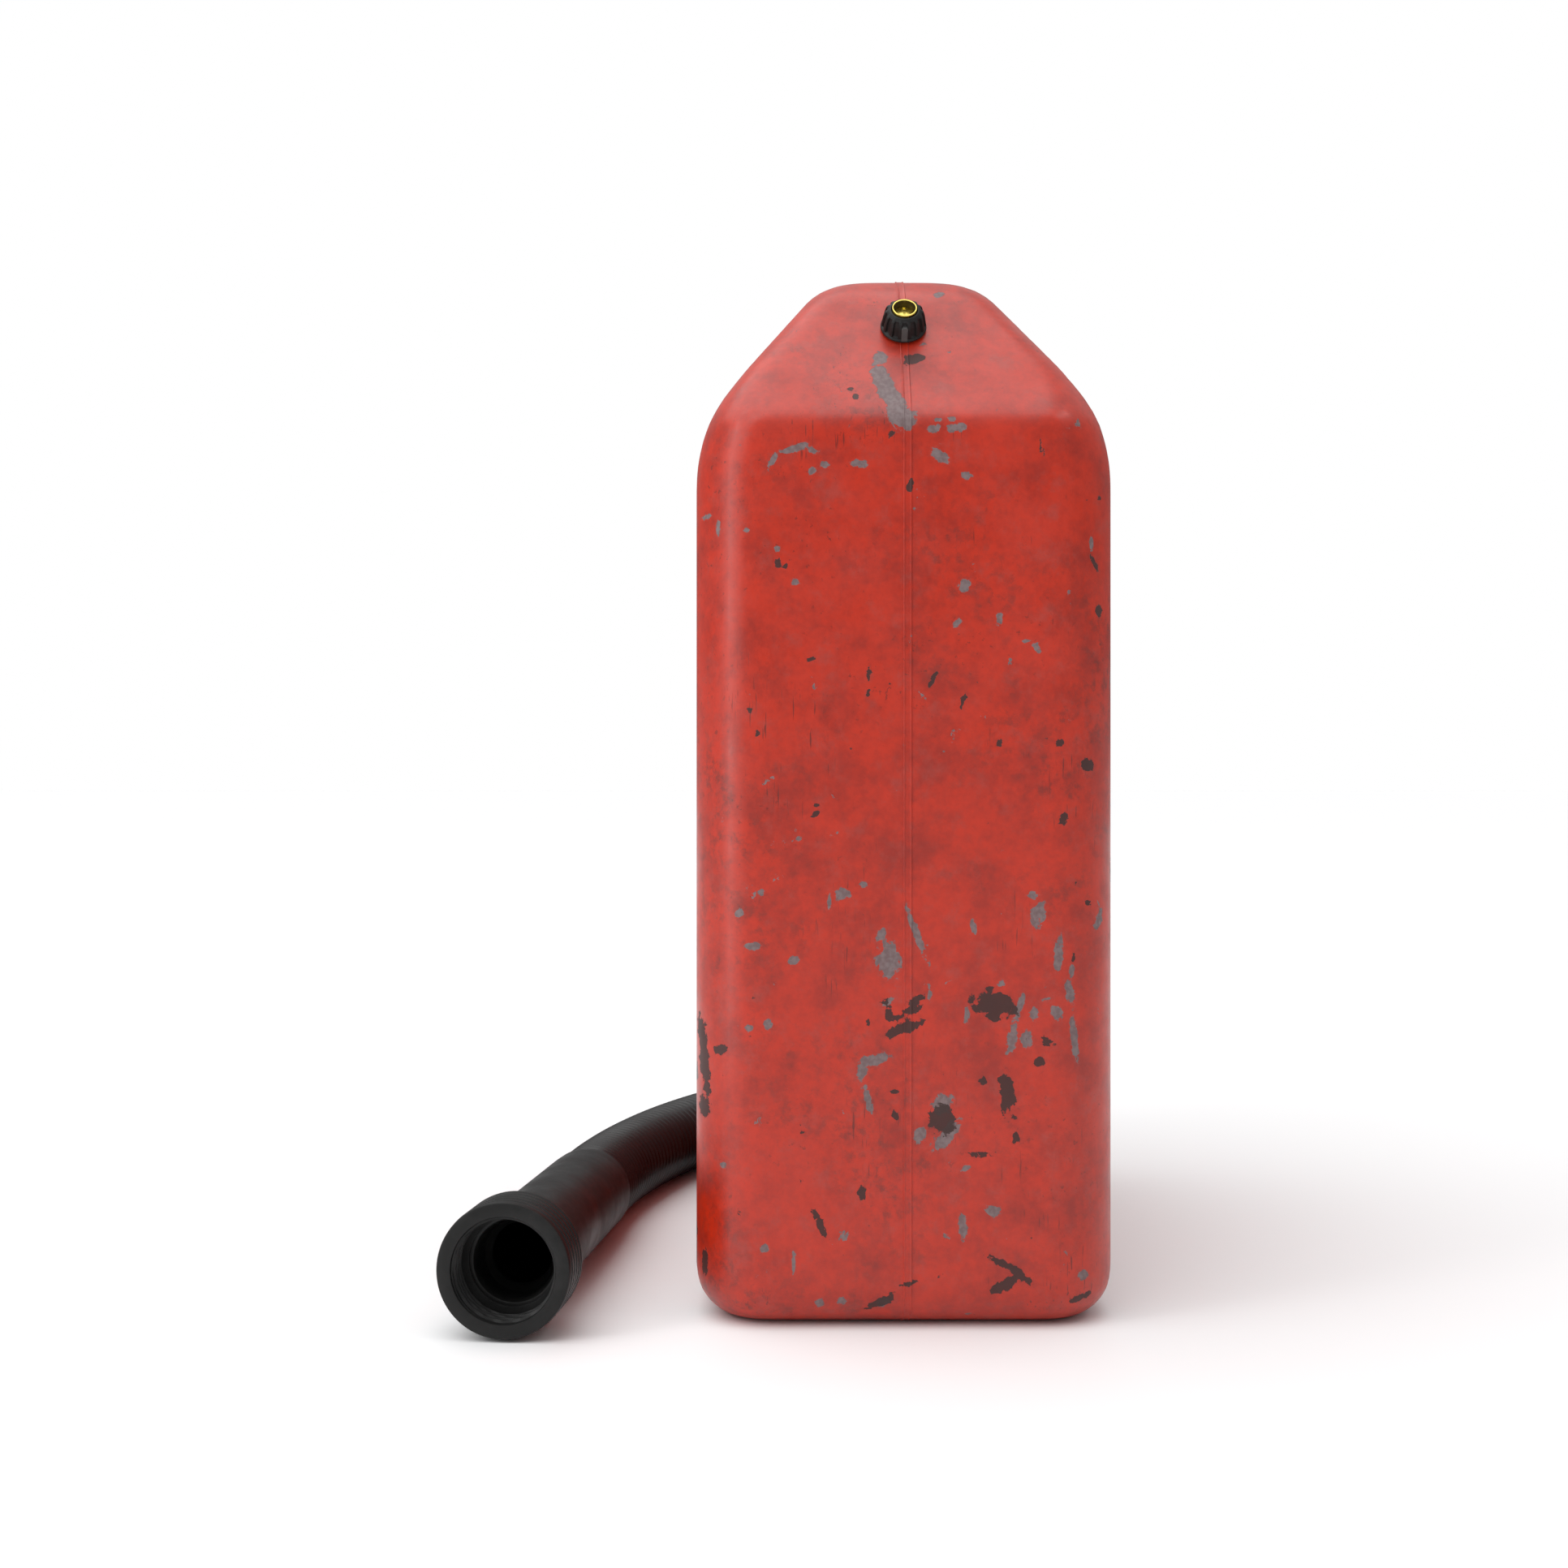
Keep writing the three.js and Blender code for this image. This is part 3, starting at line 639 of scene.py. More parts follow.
def filleted(corners, steps):
    """A polyline of (x, y, radius) corners with its corners rounded by arcs."""
    out = []
    for i, (x, y, *rest) in enumerate(corners):
        radius = rest[0] if rest else 0
        corner = np.array([x, y], float)
        if not radius or i in (0, len(corners) - 1):
            out.append(corner)
            continue
        back = np.array(corners[i - 1][:2], float) - corner
        ahead = np.array(corners[i + 1][:2], float) - corner
        back /= np.linalg.norm(back)
        ahead /= np.linalg.norm(ahead)
        half = math.acos(np.clip(back.dot(ahead), -1, 1)) / 2
        middle = (back + ahead) / np.linalg.norm(back + ahead)
        centre = corner + middle * radius / math.sin(half)
        start = corner + back * radius / math.tan(half) - centre
        end = corner + ahead * radius / math.tan(half) - centre
        a0 = math.atan2(start[1], start[0])
        turn = (math.atan2(end[1], end[0]) - a0 + math.pi) % (2 * math.pi) - math.pi
        for k in range(steps + 1):
            a = a0 + turn * k / steps
            out.append(centre + radius * np.array([math.cos(a), math.sin(a)]))
    return np.array(out)


def wall_profile(half, shoulder, incline, shoulder_radius, top_radius):
    """Half-widths against height, up the wall, over the shoulder and to the flat top."""
    top_half = half - (HEIGHT - shoulder) / math.tan(math.radians(incline))
    corners = [(0, 0), (half, 0, BASE_RADIUS), (half, shoulder, shoulder_radius)]
    corners += [(top_half, HEIGHT, top_radius), (0, HEIGHT)]
    return filleted(corners, 16)


SIDE_PROFILE = wall_profile(HALF_WIDTH, SIDE_SHOULDER, SIDE_INCLINE, 65, 32)
END_PROFILE = wall_profile(HALF_LENGTH, END_SHOULDER, END_INCLINE, 15, 35)


def hull_mesh():
    """The can without its hand gap: rings of rounded rectangles from the ground to the flat top."""
    base = BASE_RADIUS * (1 - np.cos(np.linspace(0, math.pi / 2, 12)))
    heights = np.concatenate([base, np.linspace(30, 340, 12), np.arange(345, 456.6, 1.6), [HEIGHT]])
    rows = []
    inner = slice(1, -1)
    for z in heights:
        half_x = np.interp(z, SIDE_PROFILE[inner, 1], SIDE_PROFILE[inner, 0])
        half_y = np.interp(z, END_PROFILE[inner, 1], END_PROFILE[inner, 0])
        rise = np.clip((z - HIP_FROM) / HIP_RISE, 0, 1)
        radius = PLAN_RADIUS + (PLAN_RADIUS_TOP - PLAN_RADIUS) * rise * rise * (3 - 2 * rise)
        if z < BASE_RADIUS:
            radius -= HALF_WIDTH - half_x
        ring = []
        for quarter, (sx, sy) in enumerate(((1, 1), (-1, 1), (-1, -1), (1, -1))):
            for k in range(13):
                a = math.pi / 2 * (quarter + k / 12)
                x = sx * (half_x - radius) + radius * math.cos(a)
                y = sy * (half_y - radius) + radius * math.sin(a)
                ring.append((x, y, z))
        rows.append(ring)
    count = len(rows[0])
    faces = grid_faces(len(rows), count)
    faces.append(tuple(range(count))[::-1])
    faces.append(tuple(range((len(rows) - 1) * count, len(rows) * count)))
    return new_object("can_body", np.concatenate([np.array(r) for r in rows]), faces)


def saddle_outline():
    """The hand gap seen from the side: (y, z) points, open at the top."""
    top = HEIGHT + SADDLE_ABOVE
    head = SADDLE_HALF + (top - SADDLE_FLOOR) * math.tan(math.radians(SADDLE_LEAN))
    corners = [(-head, top), (-SADDLE_HALF, SADDLE_FLOOR, SADDLE_CORNER)]
    corners += [(SADDLE_HALF, SADDLE_FLOOR, SADDLE_CORNER), (head, top)]
    return filleted(corners, 10)


def circle(radius):
    angles = np.linspace(0, 2 * math.pi, 48, endpoint=False)
    return np.array([(radius * math.cos(a), radius * math.sin(a)) for a in angles])


def cutter(name, outline, matrix, depth):
    """An outline pushed along the frame's Z by depth, closed."""
    n = len(outline)
    low = np.column_stack([outline, np.zeros(n)])
    high = np.column_stack([outline, np.full(n, depth)])
    points = place(np.concatenate([low, high]), matrix)
    faces = [(k, (k + 1) % n, n + (k + 1) % n, n + k) for k in range(n)]
    faces += [tuple(range(n))[::-1], tuple(range(n, 2 * n))]
    return face_outwards(new_object(name, points, faces, smooth=False))


def cut_and_drop(obj, tool):
    """Takes a tool's volume out of an object, and removes the tool."""
    modifier = obj.modifiers.new("cut", "BOOLEAN")
    modifier.operation = "DIFFERENCE"
    modifier.solver = "EXACT"
    modifier.object = tool
    bake_modifiers(obj)
    bpy.data.objects.remove(tool)


def bake_modifiers(obj):
    """Makes what an object's modifiers give into its mesh."""
    graph = bpy.context.evaluated_depsgraph_get()
    mesh = bpy.data.meshes.new_from_object(obj.evaluated_get(graph))
    obj.modifiers.clear()
    obj.data = mesh


FILLER_AT, VENT_AT = (0, 139.94, 430.0), (0, -141.621, 427.6)
FILLER_AXIS = (0, math.sin(math.radians(END_INCLINE)), math.cos(math.radians(END_INCLINE)))
VENT_AXIS = (0, -FILLER_AXIS[1], FILLER_AXIS[2])
FILLER = frame_matrix(FILLER_AT, FILLER_AXIS)
VENT = frame_matrix(VENT_AT, VENT_AXIS)


def press_cross(body, sign):
    """The pressed cross on the broad side given by sign."""
    for slope in (-1, 1):
        way = np.array([0, CROSS_RUN * slope, CROSS_RISE])
        way /= np.linalg.norm(way)
        length = 2 * math.hypot(CROSS_RUN, CROSS_RISE)
        start = np.array([sign * HALF_WIDTH, 0, CROSS_MID]) - way * length / 2
        bar = frame_matrix(start, way, (sign, 0, 0))
        cut_and_drop(body, cutter("tool", np.array(CROSS_SECTION, float), bar, length))


def body_form():
    """The can's skin: the hull less its hand gap, crosses and filler bore, remeshed and smoothed."""
    body = hull_mesh()
    across = np.array([[0, 0, 1, -200], [1, 0, 0, 0], [0, 1, 0, 0], [0, 0, 0, 1]], float)
    cut_and_drop(body, cutter("tool", saddle_outline(), across, 400))
    for sign in (-1, 1):
        press_cross(body, sign)
    deep = FILLER.copy()
    deep[:3, 3] -= deep[:3, 2] * BORE_DEPTH
    cut_and_drop(body, cutter("tool", circle(BORE_RADIUS), deep, BORE_DEPTH + 15))
    remesh = body.modifiers.new("remesh", "REMESH")
    remesh.mode = "VOXEL"
    remesh.voxel_size = VOXEL
    remesh.use_smooth_shade = True
    smooth = body.modifiers.new("smooth", "SMOOTH")
    smooth.factor = 0.5
    smooth.iterations = 5
    bake_modifiers(body)
    # the vent end carries the finest wear marks, so its faces are quartered
    form = bmesh.new()
    form.from_mesh(body.data)
    end_faces = [f for f in form.faces if f.calc_center_median().y < FRONT_FROM * MM and f.normal.y < -0.5]
    edges = sorted({e for f in end_faces for e in f.edges}, key=lambda e: e.index)
    bmesh.ops.subdivide_edges(form, edges=edges, cuts=1, use_grid_fill=True)
    form.to_mesh(body.data)
    form.free()
    return body


# Worn places on the vent end, judged one by one, in millimetres and degrees:
# across, height, half-width, half-height, lean.
BARE_PRIMER = [
    (-10.4, 412.5, 2.6, 2.4, 0), (-11, 404, 3.2, 5, 12), (-8.5, 397, 3.6, 7, 20),
    (-5, 389, 3.6, 7, 18), (-1.5, 383, 4.5, 4.5, 0), (16.5, 446, 2, 1.4, 0),
    (12.9, 382.2, 1.6, 1, 0), (18.5, 382.6, 1.4, 1.2, 0), (10.6, 378.4, 2.4, 1.4, 20),
    (18.3, 378.4, 1.6, 1.6, 0), (22.3, 379, 1.6, 1.6, 0), (-49, 369.5, 4, 1, 12),
    (-43.9, 371.7, 2, 0.9, 0), (-38.9, 368.9, 3, 1, -20), (-34.8, 363.2, 1.6, 1.2, 0),
    (-40.4, 361, 1.2, 1.2, 0), (-56.4, 365.4, 1, 3, -35), (-20.5, 363.8, 3.4, 1.4, -8),
    (13.8, 367, 4, 1.8, -35), (24.6, 358.8, 1.8, 1.6, -30), (-84.8, 343.5, 2, 1, 0),
    (-79.7, 337.8, 0.8, 3, 0), (-67.4, 335.9, 1.4, 1.2, 0), (-55.1, 328, 1.4, 1, 0),
    (-47.1, 313.9, 2, 1.2, -20), (23, 312.2, 2.4, 2.2, 30), (20.5, 296.8, 2.2, 1.2, 40),
    (38.3, 298.8, 1.1, 2.2, 0), (50, 289.6, 1.8, 0.8, 0), (54.4, 286.4, 1, 2.6, 35),
    (77.9, 330.8, 0.8, 3, 0), (-27.4, 183.2, 2.8, 2.2, 20), (-19, 187, 1.6, 1.2, 0),
    (-32.8, 180.3, 0.7, 2.5, 0), (-61.8, 184, 1.5, 1.2, 0), (-70.9, 175.2, 1.4, 1.6, 0),
    (-65.6, 161.5, 3, 1.4, 0), (-47.8, 155.5, 1.6, 1.4, 0), (-10.7, 166.2, 2.2, 2, 0),
    (-8.3, 155.5, 4.2, 6.8, 6), (4, 165.5, 1.2, 11, 21), (9.4, 141.5, 0.8, 3, 0),
    (-8.3, 138.1, 2.6, 1.2, 30), (-14.1, 114.1, 6, 1.8, 8), (-19.4, 109.4, 1.8, 4, -10),
    (-16.7, 97.3, 1.2, 5.5, 15), (52.2, 182.9, 3, 1.4, 0), (54.6, 174.6, 2.6, 4.6, -12),
    (27.4, 170.2, 1.2, 3, 10), (81.6, 172.2, 1.6, 4, -20), (63.1, 157.5, 1.6, 7.5, -6),
    (39.4, 145.9, 1.8, 1, 0), (68.9, 150.9, 1, 3, 0), (68.2, 141.5, 1.6, 5, 12),
    (58.2, 138.8, 3, 0.8, 0), (47.1, 137.5, 1.2, 4.5, -12), (52.8, 133.4, 1.6, 2.2, 0),
    (62.2, 133.4, 2.2, 3, 20), (43.9, 124.1, 1.8, 6.5, -8), (49.5, 122.5, 1.8, 3.2, 0),
    (70.2, 121.4, 1.2, 8, 6), (24.5, 133.4, 1, 3.4, 0), (-58.6, 128.8, 1.6, 2, 0),
    (-66.6, 127, 1.6, 1.4, 0), (14, 95.3, 3.4, 4.2, -30), (16, 82, 2.6, 7, -42),
    (4.9, 82.6, 2.4, 2.8, 0), (24.1, 68.2, 2.2, 0.8, 20), (35.8, 50.8, 3, 2, -25),
    (23, 44.1, 1.6, 4.2, 5), (-60.2, 34.7, 2.2, 1.6, 0), (-47.9, 29.1, 1, 4.5, 0),
    (74.2, 22.7, 1.8, 1.8, 0), (-77.6, 68.6, 1.4, 1.4, 0), (-10.7, 11.7, 3.2, 1.6, 35),
    (-36.8, 11.7, 1.6, 2, 0), (-27.4, 12.4, 1.8, 1.6, 0),
]
DARK_CHIPS = [
    (4, 412, 4, 2.4, 0), (-24, 397, 1.2, 0.8, 0), (-21.6, 393, 1, 1.2, 0),
    (-7.1, 376.3, 1, 1.4, 0), (0.9, 354.6, 1, 2.4, -15), (-54.7, 322.2, 1.2, 1.8, 0),
    (-51.2, 320.4, 1, 0.9, 0), (56.1, 369.5, 0.8, 3.4, 12), (82, 350.9, 0.9, 1.2, 0),
    (79.2, 323.2, 0.6, 4, 30), (81.1, 302.9, 1.6, 2.2, 0), (-40.5, 282, 2.4, 0.7, 22),
    (-16.4, 275.6, 0.6, 2.6, -10), (-16.9, 267.6, 0.9, 1.4, 0), (10.6, 273.7, 0.5, 3.6, -28),
    (23.1, 264.2, 0.7, 3, -15), (-66.4, 260.6, 1.2, 1, 0), (-62.7, 250.9, 0.9, 1.1, 0),
    (38.3, 246.8, 1.2, 1.6, 0), (63.7, 246.8, 1.4, 1.2, 0), (76.3, 237.3, 2.4, 2.2, 0),
    (-38.5, 220.7, 1.6, 1.1, 0), (-39.1, 216.6, 1.8, 0.9, 25), (65.2, 214.7, 1.8, 2.2, 0),
    (76.6, 179.3, 1.4, 1.2, 0), (69.5, 156, 1, 1.6, 0), (-9.6, 138.5, 2.2, 1, 0),
    (3.3, 138.8, 3.5, 1.4, 25), (2, 134.8, 3.4, 1.8, 20), (-8, 133.5, 1.6, 3, 0),
    (-5, 131.5, 3, 1, 10), (-1.3, 127.4, 7.2, 2, 22), (36.1, 136.8, 7.8, 4.2, -8),
    (34.1, 143.5, 1.8, 1, 0), (35.8, 131.4, 4, 1.2, -15), (-16.7, 129.4, 0.9, 1.6, -20),
    (59.1, 121.4, 3.2, 1.8, -20), (54.8, 112.7, 2.4, 1.8, 40), (42.1, 98.7, 2.6, 7.4, 8),
    (40.8, 105.4, 2.4, 1.6, 0), (31.2, 105.1, 1.4, 1.4, 0), (-5.4, 100.7, 2.2, 0.9, 0),
    (-5.4, 91.3, 1, 2.4, 25), (14, 89.3, 4.8, 5.8, 0), (45.2, 81.5, 1.4, 2.4, 0),
    (31.4, 74.3, 6.2, 0.8, 0), (-19.7, 58.5, 1.6, 2.6, 10), (-37.2, 45.4, 1.3, 6, 25),
    (38.8, 29.1, 5, 1.4, -25), (45.5, 25.1, 5, 1.6, -38), (40.1, 19.7, 6.5, 2.2, 28),
    (50.8, 21.1, 2.4, 1.2, -40), (-0.7, 20, 4.2, 0.8, 15), (-12, 11.7, 6.5, 1.8, 25),
    (-86, 114, 2, 14, 6), (-78.9, 117.4, 3, 1.6, 15), (-85.9, 92, 2.4, 4, 0),
    (-85.6, 26, 1.2, 5, 0), (73.5, 13, 5, 1.2, 20),
]
MARK_STRENGTH, MARK_LEAST = 1.1, 0.8


def add_fields(body, stray=46):
    """Point attributes for the paint: bare primer, dark chips, and painted shade for the inside of the
    filler bore.
    """
    count = len(body.data.vertices)
    co = np.empty(count * 3)
    body.data.vertices.foreach_get("co", co)
    co = co.reshape(-1, 3) / MM
    fields = {"primer": np.zeros(count), "chip": np.zeros(count)}
    front = co[:, 1] < FRONT_FROM

    def spot(kind, across, up, half_w, half_h, lean, strength, where):
        a = math.radians(lean)
        u = (across * math.cos(a) + up * math.sin(a)) / half_w
        v = (-across * math.sin(a) + up * math.cos(a)) / half_h
        field = strength * np.clip(1.15 - 0.6 * np.sqrt(u * u + v * v), 0, 1)
        fields[kind] = np.where(where, np.maximum(fields[kind], field), fields[kind])

    for kind, marks in (("primer", BARE_PRIMER), ("chip", DARK_CHIPS)):
        for x, z, half_w, half_h, lean in marks:
            half_w, half_h = max(half_w, MARK_LEAST), max(half_h, MARK_LEAST)
            spot(kind, co[:, 0] - x, co[:, 2] - z, half_w, half_h, lean, MARK_STRENGTH, front)
    # the faces out of sight are worn in the same way, at random
    for where, axis in ((co[:, 1] > 100, 0), (co[:, 0] > 60, 1), (co[:, 0] < -60, 1)):
        reach = 150 if axis == 1 else 80
        for _ in range(stray):
            kind = "primer" if rng.random() < 0.55 else "chip"
            low_bias = rng.random() ** 1.5
            size = rng.uniform(1.2, 5.5)
            across = rng.uniform(-reach, reach)
            height = 10 + 420 * low_bias
            tall = size * rng.uniform(0.4, 2.6)
            lean = rng.uniform(-40, 40)
            strength = rng.uniform(0.8, 1.05)
            spot(kind, co[:, axis] - across, co[:, 2] - height, size, tall, lean, strength, where)
    # how deep each point is in the filler bore, and how far from its axis; the points inside get painted
    # shade
    axis_to = co - np.array(FILLER_AT)
    depth = axis_to @ np.array(FILLER_AXIS)
    off = np.linalg.norm(axis_to - depth[:, None] * np.array(FILLER_AXIS), axis=1)
    fields["inside"] = ((off < 19.0) & (depth < -0.8) & (depth > -60)).astype(float)
    for name, values in fields.items():
        layer = body.data.attributes.new(name, "FLOAT", "POINT")
        layer.data.foreach_set("value", values.astype(np.float32))


body = body_form()
add_fields(body)
dress(body, PAINT, "can", "red_paint", "left_shell", "right_shell")


def add_seam():
    """The welded strip round the can's long section, 3 mm wide, with a fine raised bead along each edge."""
    saddle = [tuple(p) for p in saddle_outline()]
    rim = saddle[0][0] + SADDLE_ABOVE * math.tan(math.radians(SADDLE_LEAN))
    # up the rear end to the top, across the hand gap, and down the vent end
    rear = [tuple(p) for p in END_PROFILE[1:-1]]
    vent = [(-y, z) for y, z in reversed(rear)]
    gap = [(-rim, HEIGHT)] + saddle[-2:0:-1] + [(rim, HEIGHT)]
    outline = np.array(rear + gap + vent)
    keep = [0]
    for i in range(1, len(outline)):
        if np.linalg.norm(outline[i] - outline[keep[-1]]) > 0.05:
            keep.append(i)
    outline = outline[keep]
    # even steps, softened a little so the strip follows the body's rounded edges
    closed = np.vstack([outline, outline[:1]])
    s = arc_lengths(closed)
    even = np.linspace(0, s[-1], int(s[-1] / 2.0), endpoint=False)
    line = np.stack([np.interp(even, s, closed[:, 0]), np.interp(even, s, closed[:, 1])], 1)
    for _ in range(6):
        line = 0.5 * line + 0.25 * (np.roll(line, 1, 0) + np.roll(line, -1, 0))
    tangent = np.roll(line, -1, 0) - np.roll(line, 1, 0)
    tangent /= np.linalg.norm(tangent, axis=1)[:, None]
    normal = np.stack([tangent[:, 1], -tangent[:, 0]], 1)
    if normal[0].dot(line[0] - line.mean(0)) < 0:
        normal = -normal
    half = [(1.95, -1.2), (1.85, 0.0), (1.65, 0.33), (1.4, 0.38), (1.15, 0.14), (0.6, 0.12)]
    section = [(-x, h) for x, h in half] + half[::-1]
    rows = [[(x, p[0] + q[0] * h, p[1] + q[1] * h) for x, h in section] for p, q in zip(line, normal)]
    points = np.array(rows).reshape(-1, 3)
    points[:, 2] = np.maximum(points[:, 2], 0.0)
    strip = new_object("seam_band", points, grid_faces(len(rows), len(section), closed_rows=True))
    face_outwards(strip)
    tool = cutter("tool", circle(BORE_RADIUS), FILLER, 20)
    tool.location = Vector(-np.array(FILLER_AXIS) * 10 * MM)
    cut_and_drop(strip, tool)
    add_fields(strip, 0)
    dress(strip, PAINT, "can", "red_paint", "seam_strip_lower", "seam_strip_top")


add_seam()


# ---------- handle ----------
HANDLE_Z, HANDLE_RADIUS = 440, 13


def add_handle():
    """The tube across the hand gap, with a welded boss at each end."""
    wall = SADDLE_HALF + (HANDLE_Z - SADDLE_FLOOR) * math.tan(math.radians(SADDLE_LEAN))
    tube_matrix = frame_matrix((0, 0, HANDLE_Z), (0, 1, 0))
    end = wall + 1.0
    tube = [(11.2, -end), (HANDLE_RADIUS, -end), (HANDLE_RADIUS, end), (11.2, end)]
    tube = revolve("handle_grip_tube", resample(rounded(tube, 0.2), 8), tube_matrix, 64)
    dress(tube, TRIM_PAINT, "can", "red_paint", "handle_tube")
    outline = [(13.15, 0), (15.6, 0), (16.8, 1.2), (16.8, 3.4)]
    outline += [(17.6, 4.6), (18.3, 6.4), (18.6, 9.5), (13.15, 9.5)]

    def bead(radii, height, angles):
        """A lumpy weld bead where the boss meets the roof."""
        return radii + (0.25 * np.sin(31 * angles) if height > 4 and radii[0] > 14 else 0)

    for end_name, sign in (("front", -1), ("rear", 1)):
        m = frame_matrix((0, sign * (wall - 6.2), HANDLE_Z), (0, sign, 0))
        boss = revolve(f"handle_{end_name}_boss", resample(rounded(outline, 0.7), 1.5), m, 124, bead)
        dress(boss, TRIM_PAINT, "can", "red_paint", f"handle_{end_name}_ferrule")


add_handle()


# ---------- caps and necks ----------
def helix_thread(root, pitch, depth, low, high):
    """A modulate function that raises a helical thread on the surface at radius root between two heights."""

    def modulate(radii, height, angles):
        if abs(radii[0] - root) > 0.05 or not low <= height <= high:
            return radii
        phase = ((height - pitch * angles / (2 * math.pi)) / pitch) % 1.0
        ridge = np.clip(1 - np.abs(phase - 0.5) / 0.32, 0, 1)
        ridge = ridge * ridge * (3 - 2 * ridge)
        fade = min(1.0, (height - low) / (pitch * 0.4), (high - height) / (pitch * 0.4))
        return radii + depth * ridge * fade

    return modulate


def gripped(count, depth, low, high, least, wide=0.5):
    """A modulate function that gives a cap's side upright ribs."""

    def modulate(radii, height, angles):
        if radii[0] < least or not low < height < high:
            return radii
        wave = 0.5 + 0.5 * np.cos(count * angles)
        rib = np.clip((wave - wide) / (1 - wide) * 2.2, 0, 1)
        fade = min(1.0, (height - low) / 0.5, (high - height) / 1.2)
        return radii + depth * (rib - 0.5) * fade

    return modulate


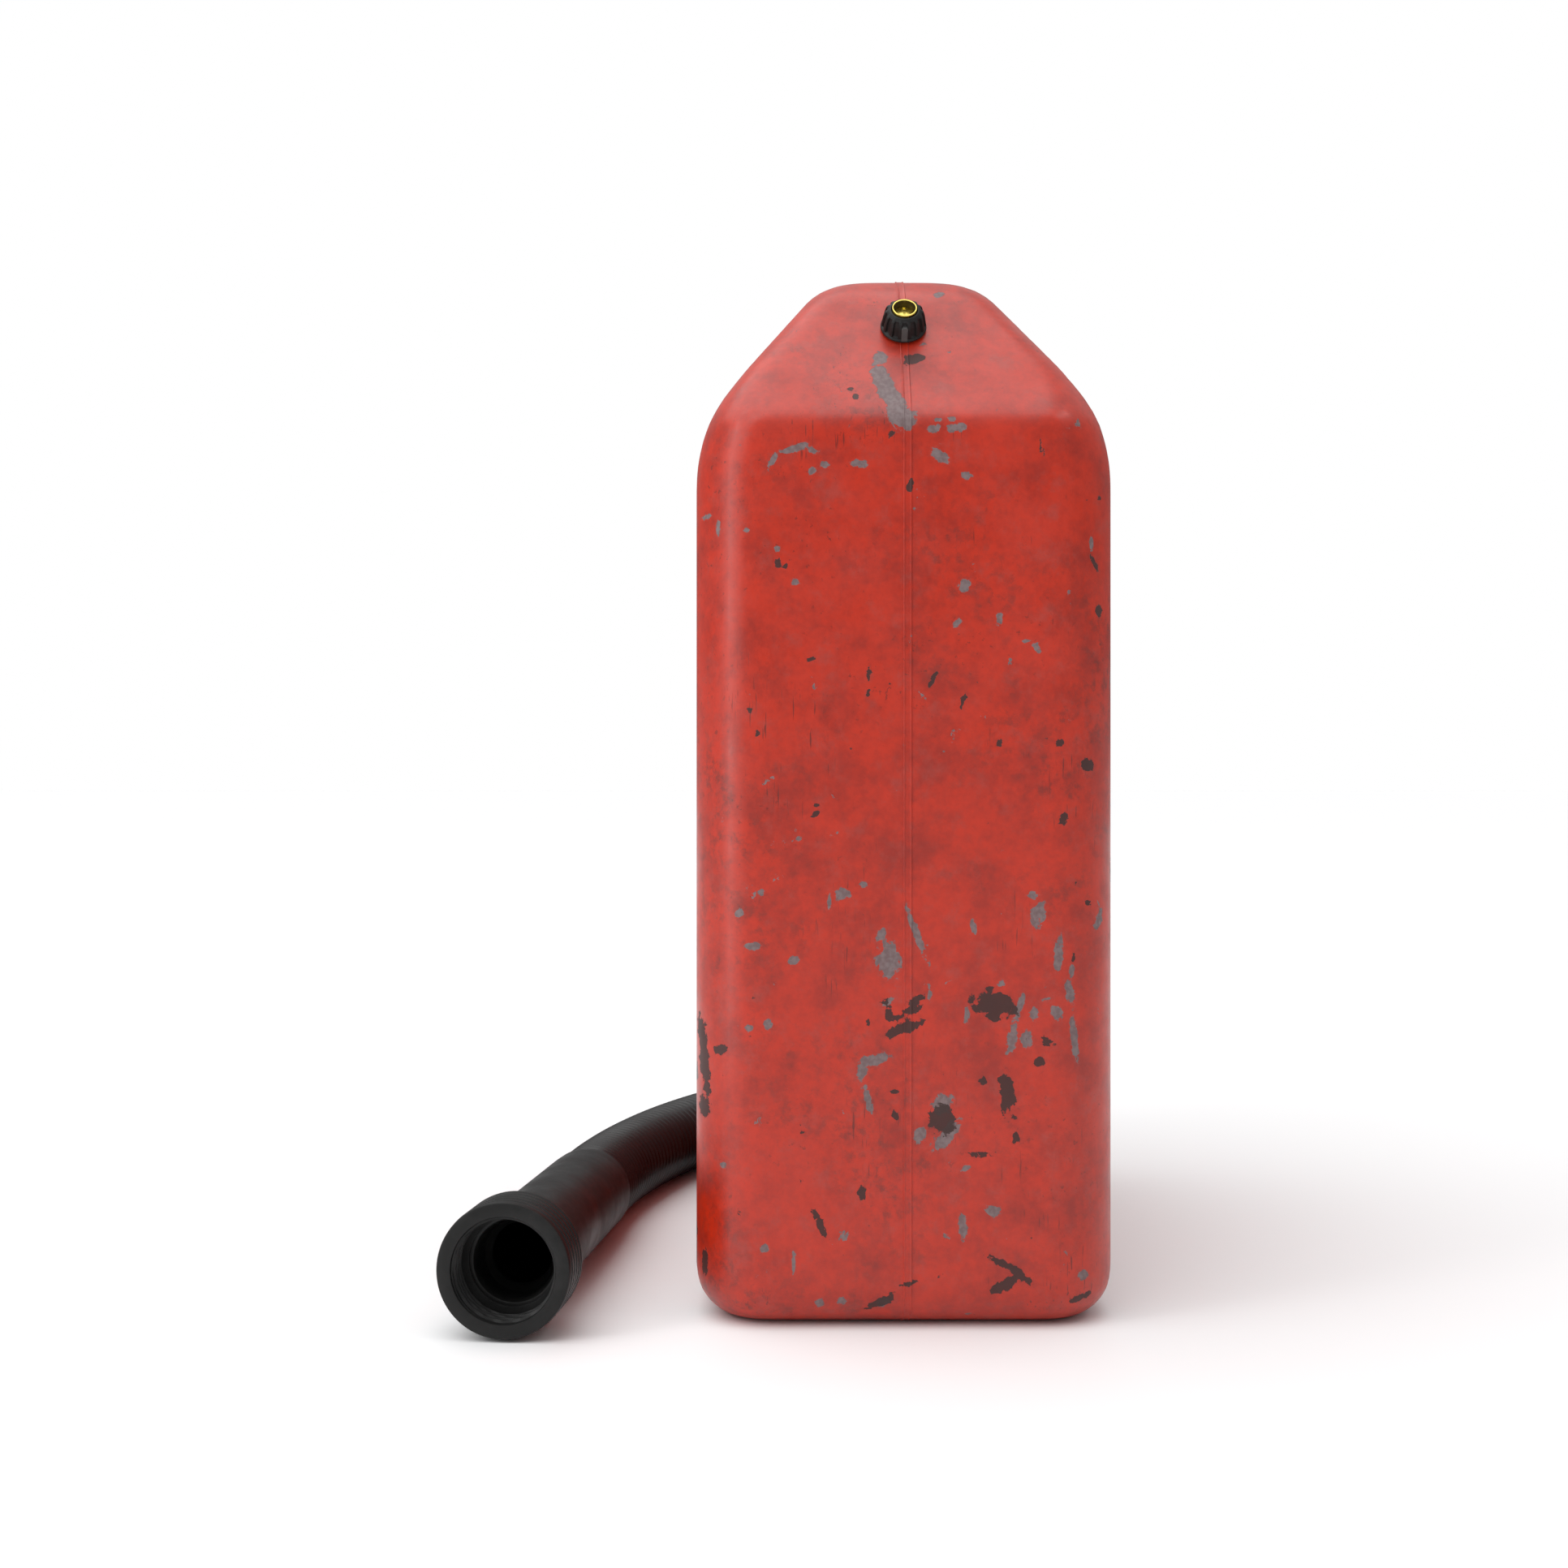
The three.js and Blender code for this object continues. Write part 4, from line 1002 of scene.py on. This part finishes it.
def add_vent():
    """The vent's threaded neck, its seal, and the ribbed cap with a grip bar and a brass cup."""
    neck = [(2.2, -2.6), (4.4, -2.6)]
    neck += [(4.4, z) for z in np.arange(-2, 4.9, 0.15)]
    neck += [(4.2, 5.0), (2.4, 5.0), (2.2, 4.8)]
    neck = revolve("vent_threaded_neck", neck, VENT, 72, helix_thread(4.4, 1.6, 0.45, 0.6, 4.8))
    dress(neck, ZINC, "can", "plated_steel", "vent_neck")
    gasket = rounded([(2.6, 5.3), (4.9, 5.3), (4.9, 5.9), (2.6, 5.9)], 0.15)
    gasket = revolve("vent_seal", gasket, VENT, 48)
    dress(gasket, GASKET_RUBBER, "vent_lift", "black_rubber", "vent_gasket")
    cap = [(5.3, 0.8), (9.6, 0.8), (10.0, 1.1), (10.0, 1.6), (9.7, 2.0), (9.35, 2.3)]
    cap += [(9.3 - (h - 2.4) * 0.16 - max(0, h - 7) * 0.12, h) for h in np.arange(2.5, 9.9, 0.3)]
    cap += [(7.2, 10.2), (6.7, 10.8), (6.2, 11.05), (5.8, 11.0), (5.7, 10.7)]
    cap += [(5.7, 6.8), (0.05, 6.8), (0.05, 6.2), (5.3, 6.2)]
    cap = revolve("vent_cap_ribbed", cap, VENT, 224, gripped(14, 0.95, 2.2, 10.4, 7.0))
    dress(cap, PLASTIC, "vent_cap", "black_plastic", "vent_cap")
    # one broad grip bar, in a paler grey than the cap
    bar = [(-1.35, 1.9), (1.35, 1.9), (1.35, 7.6), (0.9, 8.2), (-0.9, 8.2), (-1.35, 7.6)]
    points = []
    for depth, inset in ((-8.6, 0.0), (-9.95, 0.0), (-10.1, 0.25)):
        for x, h in bar:
            taper = (h - 1.9) * 0.13
            points.append((x * (1 - inset * 0.3), depth + taper, h))
    n = len(bar)
    faces = grid_faces(3, n) + [tuple(range(n)), tuple(range(2 * n, 3 * n))]
    rib = face_outwards(new_object("vent_grip_bar", place(points, VENT), faces, smooth=False))
    dress(rib, RIB_GREY, "vent_cap", "black_plastic")
    cup = [(4.9, 7.3), (5.4, 7.3), (5.4, 11.7), (5.25, 12.0)]
    cup += [(4.85, 12.0), (4.7, 11.8), (4.65, 8.2), (4.5, 7.3)]
    cup = revolve("vent_brass_cup", rounded(cup, 0.1, 2), VENT, 72)
    dress(cup, BRASS, "vent_cap", "yellow_brass", "vent_insert")
    # painted shade: the cup's inside takes the far darker brass, while its rim and outside stay bright
    cup.data.materials.append(BRASS_PAINTED_SHADE)
    inverse = np.linalg.inv(VENT)
    for polygon in cup.data.polygons:
        x, y, h = place([np.array(polygon.center) / MM], inverse)[0]
        polygon.material_index = 1 if math.hypot(x, y) < 4.8 and h < 11.6 else 0
    disc = [(0.05, 7.1), (4.6, 7.1), (4.6, 8.3), (4.3, 8.5), (0.05, 8.7)]
    disc = revolve("vent_brass_floor", disc, VENT, 64)
    slot = np.array([(-0.55, -4.0), (0.55, -4.0), (0.55, 4.0), (-0.55, 4.0)])
    slot = cutter("tool", slot, VENT, 9.5)
    slot.location = Vector(np.array(VENT_AXIS) * 7.9 * MM)
    cut_and_drop(disc, slot)
    dress(disc, BRASS, "vent_cap", "yellow_brass")


def add_filler():
    """The filler's threaded neck, its seal and the ribbed cap."""
    neck = [(17.5, -3.8), (20.2, -3.8), (20.2, 0.3), (22.9, 0.35)]
    neck += [(23.6, 0.9), (23.2, 1.8), (20.6, 2.4), (20.2, 2.8)]
    neck += [(20.2, z) for z in np.arange(3.2, 17.4, 0.3)]
    neck += [(19.9, 17.8), (19.4, 18.0), (18.1, 18.0), (17.5, 17.6)]
    neck = revolve("filler_threaded_neck", neck, FILLER, 120, helix_thread(20.2, 4.0, 1.45, 3.6, 16.8))
    dress(neck, ZINC, "can", "plated_steel", "filler_neck")
    gasket = rounded([(17.5, 18.3), (21.8, 18.3), (21.8, 19.9), (17.5, 19.9)], 0.3)
    gasket = revolve("filler_seal", gasket, FILLER, 96)
    dress(gasket, GASKET_RUBBER, "filler_lift", "black_rubber", "filler_gasket")
    cap = [(22.2, 2.6), (27.4, 2.6), (28.0, 3.1), (28.0, 4.1), (27.4, 4.6), (26.7, 5.0), (26.4, 5.4)]
    cap += [(26.35 - (h - 5.6) * 0.13, h) for h in np.arange(5.7, 20.0, 0.7)]
    cap += [(24.3, 20.8), (23.8, 21.8), (22.8, 22.6), (21.6, 22.8), (15.4, 22.8)]
    cap += [(14.8, 22.6), (14.2, 22.1), (0.05, 22.0), (0.05, 20.2), (22.2, 20.2)]
    cap = revolve("filler_cap_ribbed", cap, FILLER, 288, gripped(24, 1.3, 5.2, 20.9, 23.0, 0.35))
    dress(cap, PLASTIC, "filler_cap", "black_plastic", "filler_cap")
    ring = rounded([(11.2, 21.9), (12.4, 21.9), (12.4, 22.6), (11.2, 22.6)], 0.2)
    ring = revolve("filler_cap_ring", ring, FILLER, 72)
    dress(ring, PLASTIC, "filler_cap", "black_plastic")


add_vent()
add_filler()
